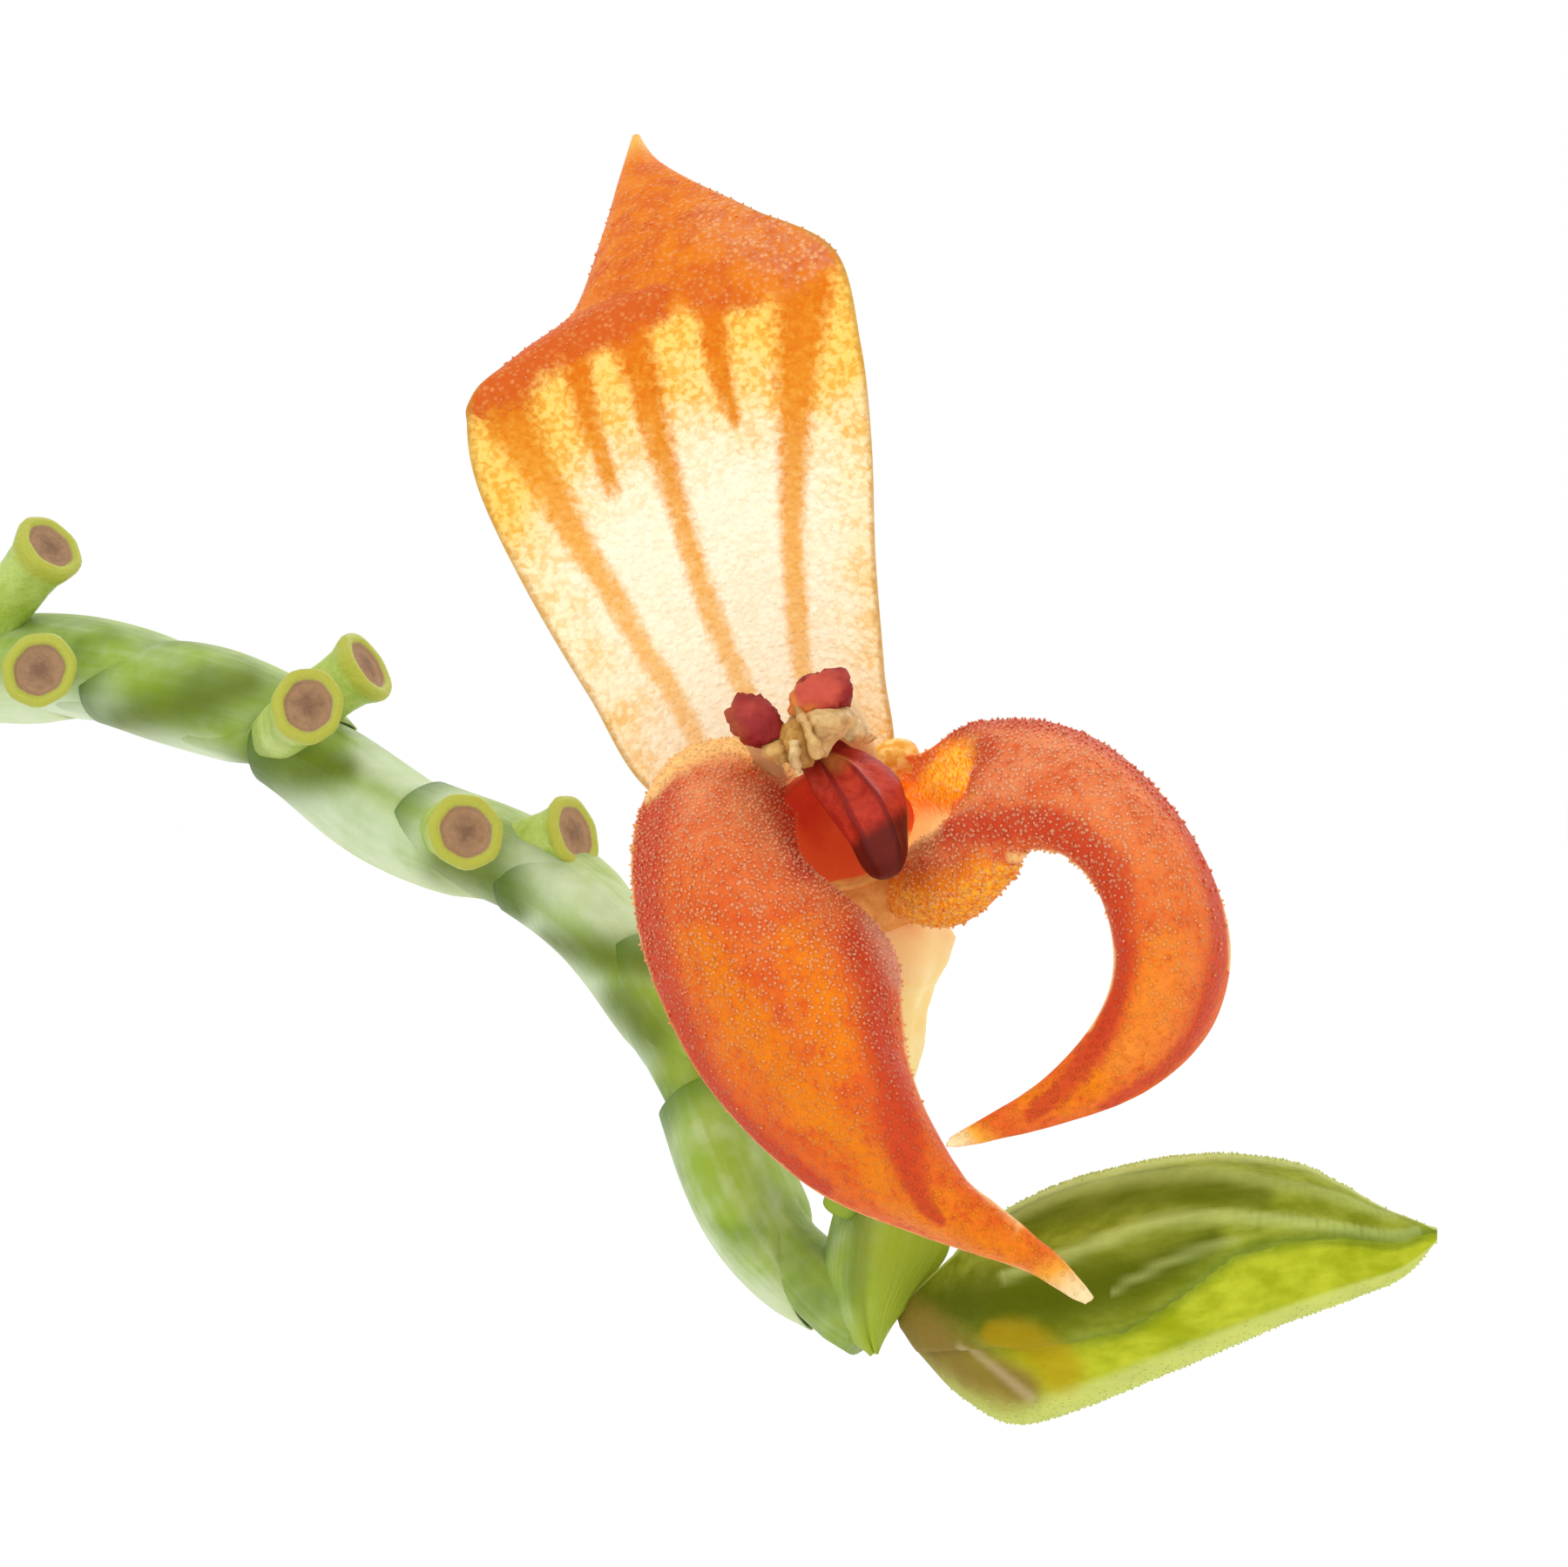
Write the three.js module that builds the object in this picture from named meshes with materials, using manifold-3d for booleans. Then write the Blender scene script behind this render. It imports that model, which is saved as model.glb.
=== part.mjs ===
// A small tufted orchid in a clay pot: bark, leathery leaves on short stems, and one long zigzag
// flower spike that arches over to an open orange bloom and a green bud.
// Millimetres, +Z up. The origin is the centre of the pot's flat base. The bloom faces -Y.
import * as THREE from "three";
import { mergeVertices } from "three/addons/utils/BufferGeometryUtils.js";
import Module from "manifold-3d";

const wasm = await Module();
wasm.setup();

// Driving dimensions
const GAP = 0.3; // between pieces that touch
const POT = { height: 78, rim: 45.5, rimDrop: 18, base: 30, wall: 3, floor: 6 };
const DRAIN = { holes: 4, radius: 4, at: 16 };
const BARK = { top: 67, dome: 3, chips: 44, long: 15, wide: 10, thick: 5, seed: 11 };
const SHOOT = { count: 10, spread: 15, stem: 22, stemRadius: 1.4, buried: 9 };
const LEAF = { length: 98, width: 19, thick: 1.5 };
const SPIKE = { foot: 1.0, neck: 0.75, rachis: 0.62, rachisLength: 46, node: 2.9, bract: 4.8 };
const BLADE = { sepal: 0.6, edge: 0.3, lip: 0.6 };

// The bloom's place, and the distance from which its outlines were read
const BLOOM_AT = new THREE.Vector3(90, 0, 205);
const EYE = 200;
const TO_EYE = new THREE.Vector3(0, -1, 0);

// Small helpers

// A seeded random number from 0 to 1.
function randomFrom(seed) {
  let state = seed;
  return () => {
    state = (state * 1664525 + 1013904223) % 4294967296;
    return state / 4294967296;
  };
}

function mix(a, b, t) {
  return a + (b - a) * t;
}

// Linear steps through a list of values, read at t from 0 to 1.
function along(values, t) {
  const at = Math.min(t, 0.999999) * (values.length - 1);
  return mix(values[Math.floor(at)], values[Math.floor(at) + 1], at % 1);
}

// A point given as seen from in front of the bloom: x to the right, z up, and how far it lies behind.
function seen([x, z, behind]) {
  const k = 1 + behind / EYE;
  return new THREE.Vector3(x * k, behind, z * k).add(BLOOM_AT);
}

function curveThrough(points) {
  return new THREE.CatmullRomCurve3(points, false, "catmullrom", 0.5);
}

function solidOf(geometry) {
  const bare = geometry.clone();
  bare.deleteAttribute("normal");
  bare.deleteAttribute("uv");
  const merged = mergeVertices(bare, 1e-5);
  return new wasm.Manifold(
    new wasm.Mesh({
      numProp: 3,
      vertProperties: new Float32Array(merged.attributes.position.array),
      triVerts: new Uint32Array(merged.index.array),
    }),
  );
}

function geometryOf(solid) {
  const mesh = solid.getMesh();
  const geometry = new THREE.BufferGeometry();
  geometry.setAttribute("position", new THREE.BufferAttribute(mesh.vertProperties, 3));
  geometry.setIndex(new THREE.BufferAttribute(mesh.triVerts, 1));
  geometry.computeVertexNormals();
  return geometry;
}

function joined(solids) {
  return solids.reduce((sum, solid) => sum.add(solid));
}

// The largest connected body, so that no loose scrap stays after a cut.
function largest(solid) {
  return solid.decompose().sort((a, b) => b.volume() - a.volume())[0];
}

// A closed solid through rings of equal size, each a list of points, with a fan over both ends.
function loft(rings) {
  const around = rings[0].length;
  const points = rings.flat();
  const triangles = [];
  for (let i = 0; i + 1 < rings.length; i += 1)
    for (let j = 0; j < around; j += 1) {
      const a = i * around + j;
      const b = i * around + ((j + 1) % around);
      triangles.push(a, b, a + around, b, b + around, a + around);
    }
  const centre = (ring) => ring.reduce((sum, p) => sum.add(p), new THREE.Vector3()).divideScalar(around);
  points.push(centre(rings[0]), centre(rings[rings.length - 1]));
  const last = (rings.length - 1) * around;
  for (let j = 0; j < around; j += 1) {
    const next = (j + 1) % around;
    triangles.push(points.length - 2, next, j, points.length - 1, last + j, last + next);
  }
  const flat = new Float32Array(points.flatMap((p) => [p.x, p.y, p.z]));
  const geometry = new THREE.BufferGeometry();
  geometry.setAttribute("position", new THREE.BufferAttribute(flat, 3));
  geometry.setIndex(triangles);
  const solid = solidOf(geometry);
  if (solid.volume() > 0) return solid;
  return loft(rings.map((ring) => [...ring].reverse()));
}

// A ring round a point: side and up are its two directions, and radius may change with the angle.
function ring(centre, side, up, sides, radius) {
  return Array.from({ length: sides }, (_, j) => {
    const angle = (2 * Math.PI * j) / sides;
    const [a, b] = radius(angle);
    return centre.clone().addScaledVector(side, a).addScaledVector(up, b);
  });
}

function round(radius) {
  return (angle) => [radius * Math.cos(angle), radius * Math.sin(angle)];
}

// Two directions across a path that stay level from one step to the next.
function across(direction, hint) {
  const side = new THREE.Vector3().crossVectors(direction, hint).normalize();
  return [side, new THREE.Vector3().crossVectors(side, direction).normalize()];
}

// A rod of changing radius along a smooth path.
function rod(points, radii, sides, steps, hint = TO_EYE) {
  const path = curveThrough(points);
  const rings = [];
  for (let i = 0; i <= steps; i += 1) {
    const t = i / steps;
    const [side, up] = across(path.getTangent(t), hint);
    rings.push(ring(path.getPoint(t), side, up, sides, round(along(radii, t))));
  }
  return loft(rings);
}

// A blade between two edge lines, with a middle line that lifts it out of their plane.
// roll says how late the blade turns back towards its edges, thick(u, v) is its thickness, and over
// carries the surface on past its edges.
function blade({ outer, middle, inner, roll = 2, over = 1, thick, lengthSteps, widthSteps }) {
  const [a, m, b] = [outer, middle, inner].map(curveThrough);
  const surface = (u, v) => {
    const [pa, pm, pb] = [a, m, b].map((line) => line.getPoint(Math.min(Math.max(u, 0), 1)));
    const half = pb.clone().sub(pa).multiplyScalar(0.5);
    const lift = pa.clone().add(pb).multiplyScalar(0.5).sub(pm);
    return pm.addScaledVector(half, v).addScaledVector(lift, Math.abs(v) ** roll);
  };
  const normal = (u, v) => {
    const d = 0.004;
    const du = surface(Math.min(u + d, 1), v).sub(surface(Math.max(u - d, 0), v));
    const dv = surface(u, v + d).sub(surface(u, v - d));
    return du.cross(dv).normalize();
  };
  const rings = [];
  for (let i = 0; i <= lengthSteps; i += 1) {
    const u = i / lengthSteps;
    const top = [];
    const bottom = [];
    for (let j = 0; j <= widthSteps; j += 1) {
      const v = ((2 * j) / widthSteps - 1) * over;
      const out = normal(u, v).multiplyScalar(thick(u, v) / 2);
      top.push(surface(u, v).add(out));
      bottom.unshift(surface(u, v).sub(out));
    }
    rings.push({ top, bottom });
  }
  return stitched(rings);
}

// The two faces of a blade, cut into triangles along the same diagonals, and the rim between them.
function stitched(rows) {
  const wide = rows[0].top.length;
  const points = rows.flatMap(({ top, bottom }) => [...top, ...bottom]);
  const top = (i, j) => i * 2 * wide + j;
  const bottom = (i, j) => i * 2 * wide + (2 * wide - 1 - j);
  const triangles = [];
  const quad = (a, b, c, d) => triangles.push(a, b, c, a, c, d);
  const facingBack = (a, b, c, d) => triangles.push(a, c, b, a, d, c);
  for (let i = 0; i + 1 < rows.length; i += 1) {
    for (let j = 0; j + 1 < wide; j += 1) {
      quad(top(i, j), top(i + 1, j), top(i + 1, j + 1), top(i, j + 1));
      facingBack(bottom(i, j), bottom(i + 1, j), bottom(i + 1, j + 1), bottom(i, j + 1));
    }
    quad(bottom(i, 0), bottom(i + 1, 0), top(i + 1, 0), top(i, 0));
    quad(top(i, wide - 1), top(i + 1, wide - 1), bottom(i + 1, wide - 1), bottom(i, wide - 1));
  }
  const end = rows.length - 1;
  for (let j = 0; j + 1 < wide; j += 1) {
    quad(bottom(0, j), top(0, j), top(0, j + 1), bottom(0, j + 1));
    quad(top(end, j), bottom(end, j), bottom(end, j + 1), top(end, j + 1));
  }
  const flat = new Float32Array(points.flatMap((p) => [p.x, p.y, p.z]));
  const geometry = new THREE.BufferGeometry();
  geometry.setAttribute("position", new THREE.BufferAttribute(flat, 3));
  geometry.setIndex(triangles);
  const solid = solidOf(geometry);
  if (solid.volume() > 0) return solid;
  for (let i = 0; i < triangles.length; i += 3)
    [triangles[i + 1], triangles[i + 2]] = [triangles[i + 2], triangles[i + 1]];
  geometry.setIndex(triangles);
  return solidOf(geometry);
}

// A round body about the Z axis from an outline of [radius, height].
function turned(outline, sides) {
  const points = outline.map(([r, z]) => new THREE.Vector2(r, z));
  const geometry = new THREE.LatheGeometry(points, sides);
  geometry.rotateX(Math.PI / 2);
  geometry.scale(1, -1, 1);
  const solid = solidOf(geometry);
  return solid.volume() > 0 ? solid : solidOf(geometry.scale(-1, 1, 1));
}

function upright(x, y, low, high, radius, sides) {
  const geometry = new THREE.CylinderGeometry(radius, radius, high - low, sides);
  geometry.rotateX(Math.PI / 2).translate(x, y, (low + high) / 2);
  return solidOf(geometry);
}

// The pot

// Inside radius of the pot at a height, down to its floor.
function potInside(z) {
  return mix(POT.base, POT.rim - 5, z / (POT.height - POT.rimDrop)) - POT.wall;
}

function makePot() {
  const shelf = POT.height - POT.rimDrop;
  const wallTop = POT.rim - 5;
  const outline = [
    [0, 0],
    [POT.base - 1.2, 0],
    [POT.base, 1.2],
    [wallTop, shelf],
    [POT.rim - 2.2, shelf + 1],
    [POT.rim - 1.4, shelf + 2.4],
    [POT.rim, POT.height - 2],
    [POT.rim - 0.9, POT.height],
    [POT.rim - 3.2, POT.height],
    [potInside(POT.height), POT.height - 1.4],
    [potInside(POT.floor + 2), POT.floor + 2],
    [potInside(POT.floor) - 2, POT.floor],
    [0, POT.floor],
  ];
  let pot = turned(outline, 40);
  for (let i = 0; i < DRAIN.holes; i += 1) {
    const angle = (2 * Math.PI * (i + 0.5)) / DRAIN.holes;
    const hole = [DRAIN.at * Math.cos(angle), DRAIN.at * Math.sin(angle)];
    pot = pot.subtract(upright(...hole, -5, POT.floor + 5, DRAIN.radius, 16));
  }
  return pot;
}

// The shoots: a short stem in papery sheaths, and one thick leaf on it

// Where each shoot stands and how its leaf leans: a spiral, so that the leaves fan out evenly.
const SHOOTS = Array.from({ length: SHOOT.count }, (_, i) => {
  const golden = Math.PI * (3 - Math.sqrt(5));
  const out = Math.sqrt((i + 0.6) / SHOOT.count);
  const angle = i * golden + 1.6;
  return {
    angle,
    x: SHOOT.spread * out * Math.cos(angle),
    y: SHOOT.spread * out * Math.sin(angle),
    stem: SHOOT.stem * (1.1 - 0.25 * out),
    leaf: LEAF.length * (1.05 - 0.12 * ((i * 7) % 5) / 4),
    width: LEAF.width * (0.86 + 0.14 * ((i * 3) % 4) / 3),
    lean: 2 + 15 * out,
    bend: 9 + 26 * out,
  };
});

function barkHeight(x, y) {
  return BARK.top + BARK.dome * (1 - (x * x + y * y) / (POT.rim * POT.rim));
}

// Share of a leaf's full width at t from its foot to its tip: a stalk, then widest past the middle.
function leafWidth(t) {
  const stalk = 0.17;
  const s = Math.min(Math.max((t - 0.1) / 0.9, 0), 1);
  return Math.max(stalk * (1 - t * t), (s ** 1.25 * (1 - s) ** 0.5) / 0.4846);
}

function makeLeaf({ angle, x, y, stem, leaf, width, lean, bend }) {
  const out = new THREE.Vector3(Math.cos(angle), Math.sin(angle), 0);
  const side = new THREE.Vector3(-Math.sin(angle), Math.cos(angle), 0);
  const steps = 13;
  const place = new THREE.Vector3(x, y, barkHeight(x, y) + stem - 3);
  const rows = [];
  for (let i = 0; i <= steps; i += 1) {
    const t = i / steps;
    const tilt = THREE.MathUtils.degToRad(mix(lean * 0.3, lean + bend, t ** 1.3));
    const forward = out.clone().multiplyScalar(Math.sin(tilt)).setZ(Math.cos(tilt));
    const upper = out.clone().multiplyScalar(-Math.cos(tilt)).setZ(Math.sin(tilt));
    const half = Math.max((width / 2) * leafWidth(t), 0.7);
    const thick = Math.min(LEAF.thick * mix(1.6, 1, Math.min(t * 4, 1)), half);
    const row = [-1, -0.5, 0, 0.5, 1].map((v) => {
      const channel = 0.2 * half * v * v;
      const middle = place.clone().addScaledVector(side, half * v).addScaledVector(upper, channel);
      const deep = (thick / 2) * mix(1, 0.5, v * v);
      return [middle.clone().addScaledVector(upper, deep), middle.addScaledVector(upper, -deep)];
    });
    rows.push({ top: row.map((p) => p[0]), bottom: row.map((p) => p[1]).reverse() });
    place.addScaledVector(forward, leaf / steps);
  }
  return stitched(rows);
}

function makeShoot(shoot) {
  const ground = barkHeight(shoot.x, shoot.y);
  const top = ground + shoot.stem;
  const r = SHOOT.stemRadius;
  const middle = mix(ground, top, 0.5);
  const heights = [ground - SHOOT.buried + 1, ground + 4, middle, middle + 0.5, top - 3, top];
  const radii = [r, r * 1.2, r * 1.45, r * 1.05, r * 1.35, r * 0.9];
  const axes = [new THREE.Vector3(1, 0, 0), new THREE.Vector3(0, 1, 0)];
  const rings = heights.map((z, i) => {
    const centre = new THREE.Vector3(shoot.x, shoot.y, z);
    return ring(centre, ...axes, 8, round(radii[i]));
  });
  return loft(rings).add(makeLeaf(shoot));
}

// The bark: a domed fill with chips over it, inside the pot, with a plain hole for each stem

function makeBark() {
  const random = randomFrom(BARK.seed);
  const room = potInside(BARK.top) - GAP;
  const low = POT.floor + GAP;
  const walls = [
    [0, low],
    [potInside(POT.floor) - 2 - GAP, low],
    [potInside(POT.floor + 2) - GAP, POT.floor + 2 + GAP],
  ];
  const peak = BARK.top + BARK.dome;
  const fill = turned([...walls, [room, BARK.top - 1], [room / 2, peak - 0.9], [0, peak]], 24);
  const inside = turned([...walls, [room, BARK.top], [room, peak + 20], [0, peak + 20]], 40);
  const chips = Array.from({ length: BARK.chips }, (_, i) => {
    const out = (room - 2) * Math.sqrt((i + 0.5) / BARK.chips);
    const angle = i * Math.PI * (3 - Math.sqrt(5));
    const size = [BARK.long, BARK.wide, BARK.thick].map((full) => full * mix(0.7, 1.1, random()));
    const chip = new THREE.BoxGeometry(...size);
    chip.rotateX(mix(-0.35, 0.35, random()));
    chip.rotateY(mix(-0.35, 0.35, random()));
    chip.rotateZ(Math.PI * random());
    const [x, y] = [out * Math.cos(angle), out * Math.sin(angle)];
    chip.translate(x, y, barkHeight(x, y) - mix(1.2, 0, random()));
    return solidOf(chip);
  });
  let bark = joined([fill, ...chips]).intersect(inside);
  for (const { x, y } of SHOOTS) {
    const floor = barkHeight(x, y) - SHOOT.buried;
    bark = bark.subtract(upright(x, y, floor, floor + 40, SHOOT.stemRadius * 1.45 + GAP, 10));
  }
  return largest(bark);
}

// The flower spike

// The spike's line from the leaf's foot, up and over, to the bud.
const host = SHOOTS[0];
const footHeight = barkHeight(host.x, host.y) + host.stem - 6;
const SPIKE_LINE = curveThrough([
  new THREE.Vector3(host.x + 2.9, host.y, footHeight),
  new THREE.Vector3(host.x + 3.6, host.y + 0.4, footHeight + 9),
  new THREE.Vector3(6, 3.5, 113),
  new THREE.Vector3(10, 8, 136),
  new THREE.Vector3(16.5, 12.5, 160),
  new THREE.Vector3(26.5, 16.5, 182),
  new THREE.Vector3(39.5, 19.5, 198),
  new THREE.Vector3(54, 20, 206.3),
  new THREE.Vector3(66, 18, 208.6),
  ...[
    [-13.71, 2.11, 15.0],
    [-12.0, 1.86, 14.0],
    [-10.0, 1.36, 12.5],
    [-8.0, 0.54, 11.0],
    [-6.43, -0.36, 10.0],
    [-4.71, -1.21, 8.5],
    [-3.0, -2.31, 7.2],
    [-2.07, -3.57, 6.4],
    [-1.29, -5.36, 5.6],
    [-0.29, -7.14, 4.8],
    [0.71, -8.29, 4.2],
    [1.43, -8.89, 3.8],
  ].map(seen),
]);
SPIKE_LINE.arcLengthDivisions = 600;
const SPIKE_LENGTH = SPIKE_LINE.getLength();

// The spike at a distance back from its tip: its point, and the directions onward, up and to the front.
function spikeAt(back) {
  const share = Math.min(Math.max(1 - back / SPIKE_LENGTH, 0), 1);
  const onward = SPIKE_LINE.getTangentAt(share);
  const [side, front] = across(onward, TO_EYE);
  return { at: SPIKE_LINE.getPointAt(share), onward, up: side.negate(), front };
}

// Stalk stubs that dropped flowers left: where each springs from, back from the tip, and where it ends.
const STUBS = [
  { root: 12.6, end: [-5.21, -0.79, 6.0] },
  { root: 11.3, end: [-3.4, -0.79, 7.5] },
  { root: 16.6, end: [-7.79, 1.29, 8.0] },
  { root: 16.8, end: [-6.79, 1.97, 10.5] },
  { root: 22.0, end: [-12.21, 1.86, 10.5] },
  { root: 23.5, end: [-12.0, 3.93, 13.0] },
].map(({ root, end }) => ({ root, end: seen(end) }));

// The older stubs, out of the bloom's neighbourhood, follow the same beat in turn on both sides.
for (let back = 28; back < SPIKE.rachisLength; back += SPIKE.node * 1.6) {
  [1, -1].forEach((turn) => {
    const root = back + (turn > 0 ? 0 : 1.4);
    const { onward, up, front } = spikeAt(root);
    const reach = front.clone().multiplyScalar(2.4).addScaledVector(onward, 1.6).addScaledVector(up, turn);
    STUBS.push({ root, end: spikeAt(root).at.add(reach) });
  });
}

function makeStub({ root, end }) {
  const foot = spikeAt(root).at;
  const reach = end.clone().sub(foot);
  const [side, up] = across(reach.clone().normalize(), new THREE.Vector3(0, 0, 1));
  const steps = [
    [0.1, 0.5],
    [0.8, 0.52],
    [0.9, 0.63],
    [1, 0.6],
  ];
  return loft(steps.map(([t, r]) => ring(foot.clone().addScaledVector(reach, t), side, up, 7, round(r))));
}

// A folded bract round one step of the spike: its keel stands out to one side, its mouth to the other.
function makeBract({ back, length, turn, keel: lift }) {
  const steps = [
    [0, 0.8, -0.7, 0.7],
    [0.3, lift, -0.72, 0.92],
    [0.62, lift * 1.05, -0.5, 0.92],
    [0.86, lift, 0.05, 0.6],
    [1, lift * 0.9, 0.5, 0.22],
  ];
  const rings = steps.map(([t, keel, open, wide]) => {
    const { at, onward, up, front } = spikeAt(back - t * length);
    const outward = up.clone().multiplyScalar(0.93 * turn).addScaledVector(front, -0.37);
    const flank = new THREE.Vector3().crossVectors(outward, onward).normalize();
    const middle = (keel + open) / 2;
    const reach = (keel - open) / 2;
    const egg = (angle) => {
      const [c, s] = [Math.cos(angle), Math.sin(angle)];
      return [middle + reach * c, wide * s * (1 - 0.3 * c)];
    };
    return ring(at, outward, flank, 7, egg);
  });
  return loft(rings);
}

// Each bract's foot, back from the spike's tip, and how far its keel stands out: up is turn 1.
const BRACTS = [
  { back: 2.2, length: 2.1, turn: 1, keel: 0.75 },
  { back: 2.4, length: 2.6, turn: -1, keel: 0.72 },
  { back: 5.4, length: 4.2, turn: -1, keel: 0.8 },
  { back: 8.2, length: 3.2, turn: 1, keel: 0.85 },
  { back: 11.0, length: 4.4, turn: -1, keel: 0.95 },
  { back: 13.2, length: 4.2, turn: 1, keel: 0.9 },
  { back: 16.6, length: 4.8, turn: -1, keel: 1.0 },
  { back: 20.4, length: 4.6, turn: 1, keel: 1.1 },
];
for (let back = 23.4; back < SPIKE.rachisLength; back += SPIKE.node)
  BRACTS.push({ back, length: SPIKE.bract, turn: BRACTS.length % 2 ? -1 : 1, keel: 1.0 });
for (const share of [0.42, 0.62, 0.82])
  BRACTS.push({ back: SPIKE_LENGTH * share, length: 9, turn: 1, keel: 1.3 });

function makeSpike() {
  const stations = [];
  for (let back = SPIKE_LENGTH; back > SPIKE.rachisLength; back -= 6) stations.push(back);
  for (let back = SPIKE.rachisLength; back > 0; back -= SPIKE.node / 1.25) stations.push(back);
  stations.push(0);
  const rings = stations.map((back) => {
    const { at, up, front } = spikeAt(back);
    const stem = mix(SPIKE.neck, SPIKE.foot, back / SPIKE_LENGTH);
    return ring(at, up, front, 7, round(back > SPIKE.rachisLength ? stem : SPIKE.rachis));
  });
  return joined([loft(rings), ...BRACTS.map(makeBract), ...STUBS.map(makeStub)]);
}

// The bloom. Its lines are lists of [x, z, behind] as seen from in front, from the foot to the tip.

const DORSAL = {
  outer: [
    [0.1, -1.1, 3.1],
    [-2.1, -0.21, 2.4],
    [-3.2, 1.43, 1.9],
    [-4.25, 3.21, 1.5],
    [-5.0, 4.79, 1.2],
    [-5.2, 5.86, 1.0],
    [-5.03, 6.4, 0.9],
    [-3.57, 7.43, 1.8],
    [-2.97, 8.79, 3.2],
    [-2.69, 9.79, 4.2],
    [-2.48, 10.5, 5.0],
  ],
  middle: [
    [0.36, -1.0, 3.3],
    [-0.1, -0.07, 2.9],
    [-0.54, 1.57, 2.4],
    [-0.97, 3.29, 1.9],
    [-1.43, 4.86, 1.4],
    [-1.79, 6.21, 0.9],
    [-2.11, 7.46, 0.9],
    [-2.26, 8.5, 1.9],
    [-2.36, 9.43, 3.2],
    [-2.4, 10.0, 4.2],
    [-2.41, 10.53, 5.0],
  ],
  inner: [
    [0.75, -0.95, 3.1],
    [1.75, 0.29, 2.4],
    [1.64, 1.86, 1.9],
    [1.5, 3.71, 1.5],
    [1.44, 5.57, 1.1],
    [1.26, 7.21, 0.8],
    [0.83, 8.76, 0.9],
    [-0.46, 9.39, 1.8],
    [-1.5, 9.87, 3.2],
    [-2.04, 10.19, 4.2],
    [-2.34, 10.54, 5.0],
  ],
};

const LEFT = {
  outer: [
    [0.36, -0.36, 1.8],
    [0.0, 0.46, 1.6],
    [-0.86, 0.73, 1.2],
    [-1.79, 0.43, 0.6],
    [-2.36, -0.5, 0.0],
    [-2.47, -1.71, -0.3],
    [-2.14, -3.21, -0.6],
    [-1.21, -5.0, -1.0],
    [0.43, -6.6, -1.6],
    [2.29, -7.4, -2.2],
    [3.93, -7.94, -2.6],
    [4.94, -8.54, -2.8],
  ],
  middle: [
    [0.21, -0.79, 1.7],
    [-0.21, -0.71, 0.2],
    [-0.57, -0.79, -1.2],
    [-0.71, -1.21, -2.1],
    [-0.57, -2.0, -2.6],
    [-0.29, -3.0, -2.8],
    [0.21, -4.0, -2.9],
    [1.0, -5.21, -3.0],
    [2.0, -6.36, -3.0],
    [3.07, -7.14, -3.0],
    [4.14, -7.76, -2.9],
    [5.01, -8.47, -2.8],
  ],
  inner: [
    [0.17, -1.17, 1.6],
    [0.43, -1.57, 0.6],
    [0.93, -1.86, -0.2],
    [1.47, -2.29, -0.8],
    [1.86, -2.93, -1.2],
    [1.93, -3.79, -1.5],
    [2.04, -4.64, -1.8],
    [2.4, -5.64, -2.1],
    [3.0, -6.64, -2.3],
    [3.79, -7.31, -2.6],
    [4.5, -7.83, -2.8],
    [5.08, -8.42, -2.8],
  ],
};

const RIGHT = {
  outer: [
    [1.71, 0.21, 1.4],
    [2.0, 0.46, 0.4],
    [2.64, 0.83, -0.2],
    [3.43, 1.0, -0.6],
    [4.36, 0.97, -1.0],
    [5.36, 0.54, -1.3],
    [6.36, -0.43, -1.5],
    [7.04, -1.64, -1.7],
    [7.29, -2.86, -1.9],
    [6.93, -4.07, -2.2],
    [5.93, -5.0, -2.6],
    [4.43, -5.56, -3.0],
    [2.74, -5.99, -3.3],
  ],
  middle: [
    [1.97, -0.86, 2.0],
    [2.6, -0.74, -0.6],
    [3.14, -0.36, -1.6],
    [3.79, -0.07, -2.2],
    [4.64, -0.14, -2.6],
    [5.4, -0.6, -2.9],
    [5.97, -1.43, -3.1],
    [6.31, -2.36, -3.2],
    [6.37, -3.21, -3.2],
    [6.03, -4.11, -3.2],
    [5.21, -4.86, -3.2],
    [4.0, -5.4, -3.3],
    [2.71, -5.89, -3.3],
  ],
  inner: [
    [1.5, -2.0, 1.2],
    [2.07, -2.26, -0.2],
    [2.86, -2.29, -0.8],
    [3.57, -1.6, -1.3],
    [3.79, -1.07, -1.8],
    [4.5, -1.09, -2.2],
    [5.09, -1.6, -2.4],
    [5.39, -2.4, -2.6],
    [5.39, -3.26, -2.8],
    [5.03, -4.03, -3.0],
    [4.33, -4.81, -3.1],
    [3.51, -5.49, -3.2],
    [2.74, -5.79, -3.3],
  ],
};

const LIP = {
  outer: [
    [0.58, -0.08, -0.4],
    [0.95, -0.45, -1.1],
    [1.25, -0.85, -1.5],
    [1.4, -1.15, -1.45],
    [1.5, -1.3, -1.2],
  ],
  middle: [
    [0.86, 0.14, -0.6],
    [1.3, -0.25, -1.5],
    [1.55, -0.65, -1.85],
    [1.63, -1.0, -1.8],
    [1.64, -1.32, -1.3],
  ],
  inner: [
    [1.1, 0.4, -0.3],
    [1.52, 0.06, -0.9],
    [1.72, -0.4, -1.3],
    [1.75, -0.9, -1.4],
    [1.72, -1.3, -1.2],
  ],
};

const PETALS = {
  left: [
    [-0.1, 0.0, 1.2],
    [-0.3, 0.45, 0.3],
    [-0.46, 0.92, -0.8],
    [-0.52, 1.15, -1.4],
  ],
  right: [
    [1.35, 0.25, 1.2],
    [1.12, 0.8, 0.2],
    [0.7, 1.32, -0.9],
    [0.52, 1.58, -1.5],
  ],
};

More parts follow.
